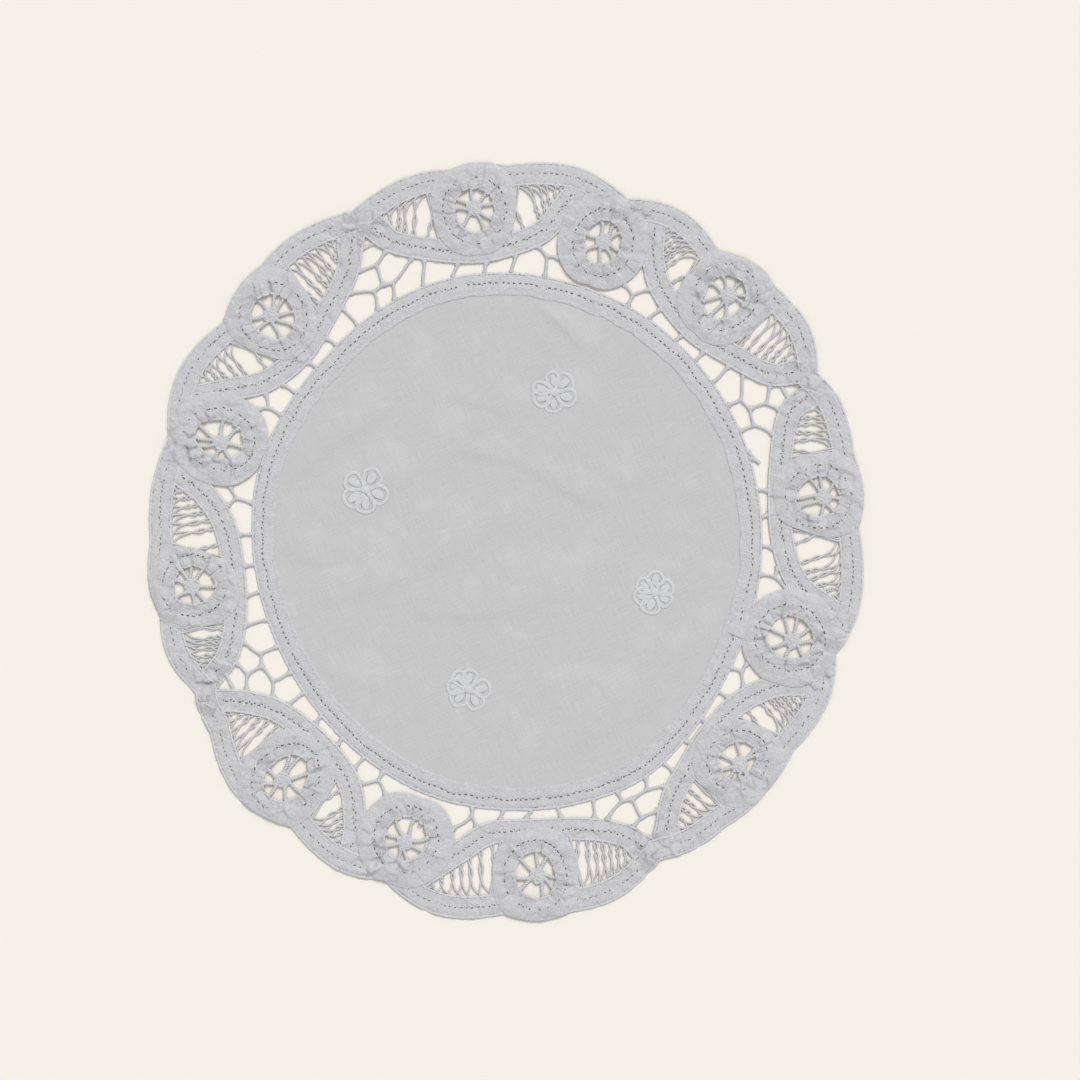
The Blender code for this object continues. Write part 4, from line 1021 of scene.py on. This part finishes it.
def crossed_threads(eye, ring, side):
    """A panel of threads between an eye's two tapes. Each foot on the lower edge has two threads, coiled
    round each other to about half way; there they part, and bow over to two stitches in the upper edge,
    where each crosses a thread of the foot beside it. All lean away from the tip. Two run down beside the
    ring, and a thread from half way down it makes the last coil with one of them."""
    rng = draws(700 + 10 * int(eye.name) + (side == "a"))
    feet, lean = PANELS[eye.name + side]
    turned = 1 if side == "a" else -1
    lower, upper = (outside_ring(edge[::turned], ring) for edge in opening_edges(eye))
    out = upper.mean(axis=0) / norm(upper.mean(axis=0))
    to_ring = np.array((-out[1], out[0]))
    to_ring = to_ring * np.sign((upper[-1] - upper[0]) @ to_ring)
    along = (upper - upper[0]) @ to_ring
    across = (lower - upper[0]) @ to_ring
    tall = np.interp(across, along, (upper - upper[0]) @ out) - (lower - upper[0]) @ out
    marks = (np.arange(feet + 1) + 0.15 + rng.uniform(-0.14, 0.14, feet + 1)) * along[-1] / (feet + 0.3)
    stands = np.interp((marks[:-1] + marks[1:]) / 2, across + lean * tall, np.arange(len(lower)))
    paths = []
    for k, stand in enumerate(np.clip(np.round(stands), 1, len(lower) - 2).astype(int)):
        foot, height = lower[stand], tall[stand]
        part = foot + (out + to_ring * lean * rng.uniform(0.5, 0.9)) * height * rng.uniform(0.36, 0.6)
        pair = coil(foot, part, min(0.66, 0.38 + 0.03 * height) * rng.uniform(0.85, 1.25), rng.random() < 0.5)
        for n, aside in enumerate((-0.55, 0.7)):
            end = np.array([np.interp(marks[k + n] + aside, along, column) for column in upper.T])
            rise = pair[n] if to_ring @ (pair[1][4] - pair[0][4]) < 0 else pair[1 - n]
            paths.append((n, np.concatenate((rise[:-1], arm(part, end, to_ring, out)))))
    by_ring = upper[-1] + (lower[-1] - upper[-1]) * np.linspace(-0.12, 1.1, 7)[:, None]
    paths.append((0, by_ring - to_ring * (0.5 + rng.uniform(-0.15, 0.2, (7, 1)))))
    gap = (lower[-1] - foot) @ to_ring
    if gap > WIDE_GAP:
        last = lower[int(np.argmin(np.abs(across - (across[-1] - 0.45 * gap))))]
        knot = by_ring[3] - to_ring * 1.1
        pair = coil(last, last + (knot - last) * 0.8, 0.5, rng.random() < 0.5)
        up = [knot, by_ring[2] - to_ring * 1.2, by_ring[0] - to_ring * 1.5]
        paths.append((0, np.concatenate((pair[0], up))))
        paths.append((1, np.concatenate((pair[1], [knot + to_ring * 1.2, knot + to_ring * 2.4]))))
    else:
        paths.append((1, by_ring - to_ring * (1.3 + rng.uniform(-0.2, 0.3, (7, 1)))))
    skins = []
    for n, path in paths:
        flat = flow(path, 0.3)
        weave = (2 * n - 1) * np.cos(np.linspace(0, 1, len(flat)) * 3.4 * np.pi)
        wide = 0.45 + 0.03 * wander(len(flat), rng.integers(99), 7, False)
        skins.append(strand(raised(flat, THREAD_LEVEL + 0.22 * weave + 0.1), wide, **CROSSING))
    piece(f"crossed_threads_{eye.name}{side}", skins, "cotton_thread", f"panel_{eye.name}{side}")


def thread_bars(net):
    """A net's bars: each a thread twisted back on itself, sewn to the tapes at its ends, where it widens
    by bells."""
    rng = draws(900 + int(net.name))

    def foot(deg):
        return polar(deg, cloth_tape(deg) + TAPE_HALF)

    def fan(deg, out, *ends):
        return [(polar(deg, out), end) for end in ends]

    peak, hub = net.peak, polar(*net.peak.hub)
    ties = [(foot(low), border_point(high)) for low, high in net.bars]
    for fork in (net.fork, net.fork_2):
        ties += fan(fork.deg, fork.out, foot(fork.foot), border_point(fork.high), border_point(fork.low))
    for leg in (peak.leg, peak.leg_2):
        ties += fan(leg.deg, leg.out, foot(leg.foot), border_point(leg.arm), hub)
    ties += fan(*peak.fork, hub, border_point(peak.high), border_point(peak.low))
    if net.stub:
        root, root_2, end = net.stub
        ties += fan(*end, foot(root), foot(root_2))
    skins = []
    for k, (start, end) in enumerate(ties):
        length = norm(end - start)
        into = (end - start) / length
        line = bent(start - into * 0.3, end + into * 0.7, rng.uniform(-0.06, 0.06) * length, THREAD_LEVEL,
                    rng.uniform(-0.03, 0.03) * length, -0.1)
        at_end, at_start = (bell(norm(line[:, :2] - tie) / wide) for tie, wide in ((end, 1.2), (start, 1.1)))
        wide = 0.66 + 0.65 * at_end + (0.3 if k < len(net.bars) else 0.25) * at_start \
            + 0.05 * wander(len(line), rng.integers(99), 12, False)
        skins.append(strand(line, wide, **BAR))
    across = polar(peak.fork[0], 1)[::-1] * (1, -1)
    web = polar(peak.fork[0], peak.cross + 0.9) + across * np.linspace(-5, 5, 41)[:, None]
    skins.append(strand(raised(web, THREAD_LEVEL), 0.85 + 0.08 * wander(41, 5, 9, False), **CROSS_BAR))
    piece(f"thread_bars_{net.name}", skins, "cotton_thread", f"bar_net_{net.name}")


def filled(start, end, wide, tall, height):
    """A filled patch of stitches between two points: its half width and half height swell like a half
    circle."""
    share = np.linspace(-1, 1, 17)
    swell = np.sqrt(1.04 - share**2)
    line = (start + end) / 2 + (end - start) / 2 * share[:, None]
    return strand(raised(line, cloth_top(line) + height), wide * swell, tall=tall * swell, **SATIN)


def flower(row):
    """A flower of satin stitches: a low flat band round each petal, a filled patch in it, and a round
    boss in the middle."""
    rng = draws(1100 + int(row.name))
    middle = np.array((row.x, row.y))
    skins = []
    for deg, long, wide in row.petals:
        out, across = polar(deg, 1), polar(deg + 90, 1) * wide
        tip = long - BAND
        shape = ((1.3, 0.2), (0.36 * tip, 0.66), (0.64 * tip, 1.0), (0.88 * tip, 0.78), (tip, 0))
        loop = flow(np.array([middle + out * a + across * b for a, b in shape]
                             + [middle + out * a - across * b for a, b in shape[-2::-1]]), 0.4)
        loop = beside(loop, 0.22 * wander(len(loop), rng.integers(999), 7, False))
        width = BAND * (1 + 0.13 * wander(len(loop), rng.integers(999), 5, False))
        skins.append(strand(raised(loop, cloth_top(loop) + rng.uniform(0.0, 0.08)), width, tall=0.2, **SATIN))
        lean = across * rng.uniform(-0.12, 0.12)
        skins.append(filled(middle + out * 2.9 + lean, middle + out * (tip - 1.3) - lean,
                            0.5 * wide, 0.11, 0.04))
    reach = polar(rng.uniform(0, 180), BOSS)
    skins.append(filled(middle - reach, middle + reach, BOSS, 0.4, 0.1))
    piece(f"stitched_flower_{row.name}", skins, "embroidery", f"flower_{row.name}")


centre_cloth()
centre_tape()
for eye_row, ring_row in zip(EYES, RINGS):
    eye_tape(eye_row)
    crossed_threads(eye_row, ring_row, "a")
    crossed_threads(eye_row, ring_row, "b")
for ring_row in RINGS:
    ring_tape(ring_row)
    wheel(ring_row)
for net_row in NETS:
    thread_bars(net_row)
for flower_row in FLOWERS:
    flower(flower_row)


# ---- stage

def floor():
    bpy.ops.mesh.primitive_plane_add(size=FLOOR_SIDE)
    made = bpy.context.object
    made.name = "floor"
    made.data.materials.append(Finish("plain floor", FLOOR, 0.9, 0.0).made)


def camera():
    data = bpy.data.cameras.new("camera")
    data.lens, data.sensor_width = LENS, SENSOR
    data.clip_start, data.clip_end = 0.01, 20
    made = add("camera", data)
    made.location = (VIEW_MIDDLE[0] * MM, VIEW_MIDDLE[1] * MM, VIEW_SIDE * MM * LENS / SENSOR)
    bpy.context.scene.camera = made


def lights():
    """A soft sun from the upper right, and an even sky."""
    data = bpy.data.lights.new("key", "SUN")
    data.energy = SUN
    data.angle = np.radians(SUN_WIDE)
    add("key", data).rotation_euler = (0, np.radians(SUN_TILT), np.radians(SUN_DEG))
    world = bpy.data.worlds.new("sky")
    world.use_nodes = True
    background = world.node_tree.nodes["Background"]
    background.inputs["Color"].default_value = (1, 1, 1, 1)
    background.inputs["Strength"].default_value = SKY
    bpy.context.scene.world = world


floor()
camera()
lights()
bpy.context.scene.view_settings.view_transform = "Standard"
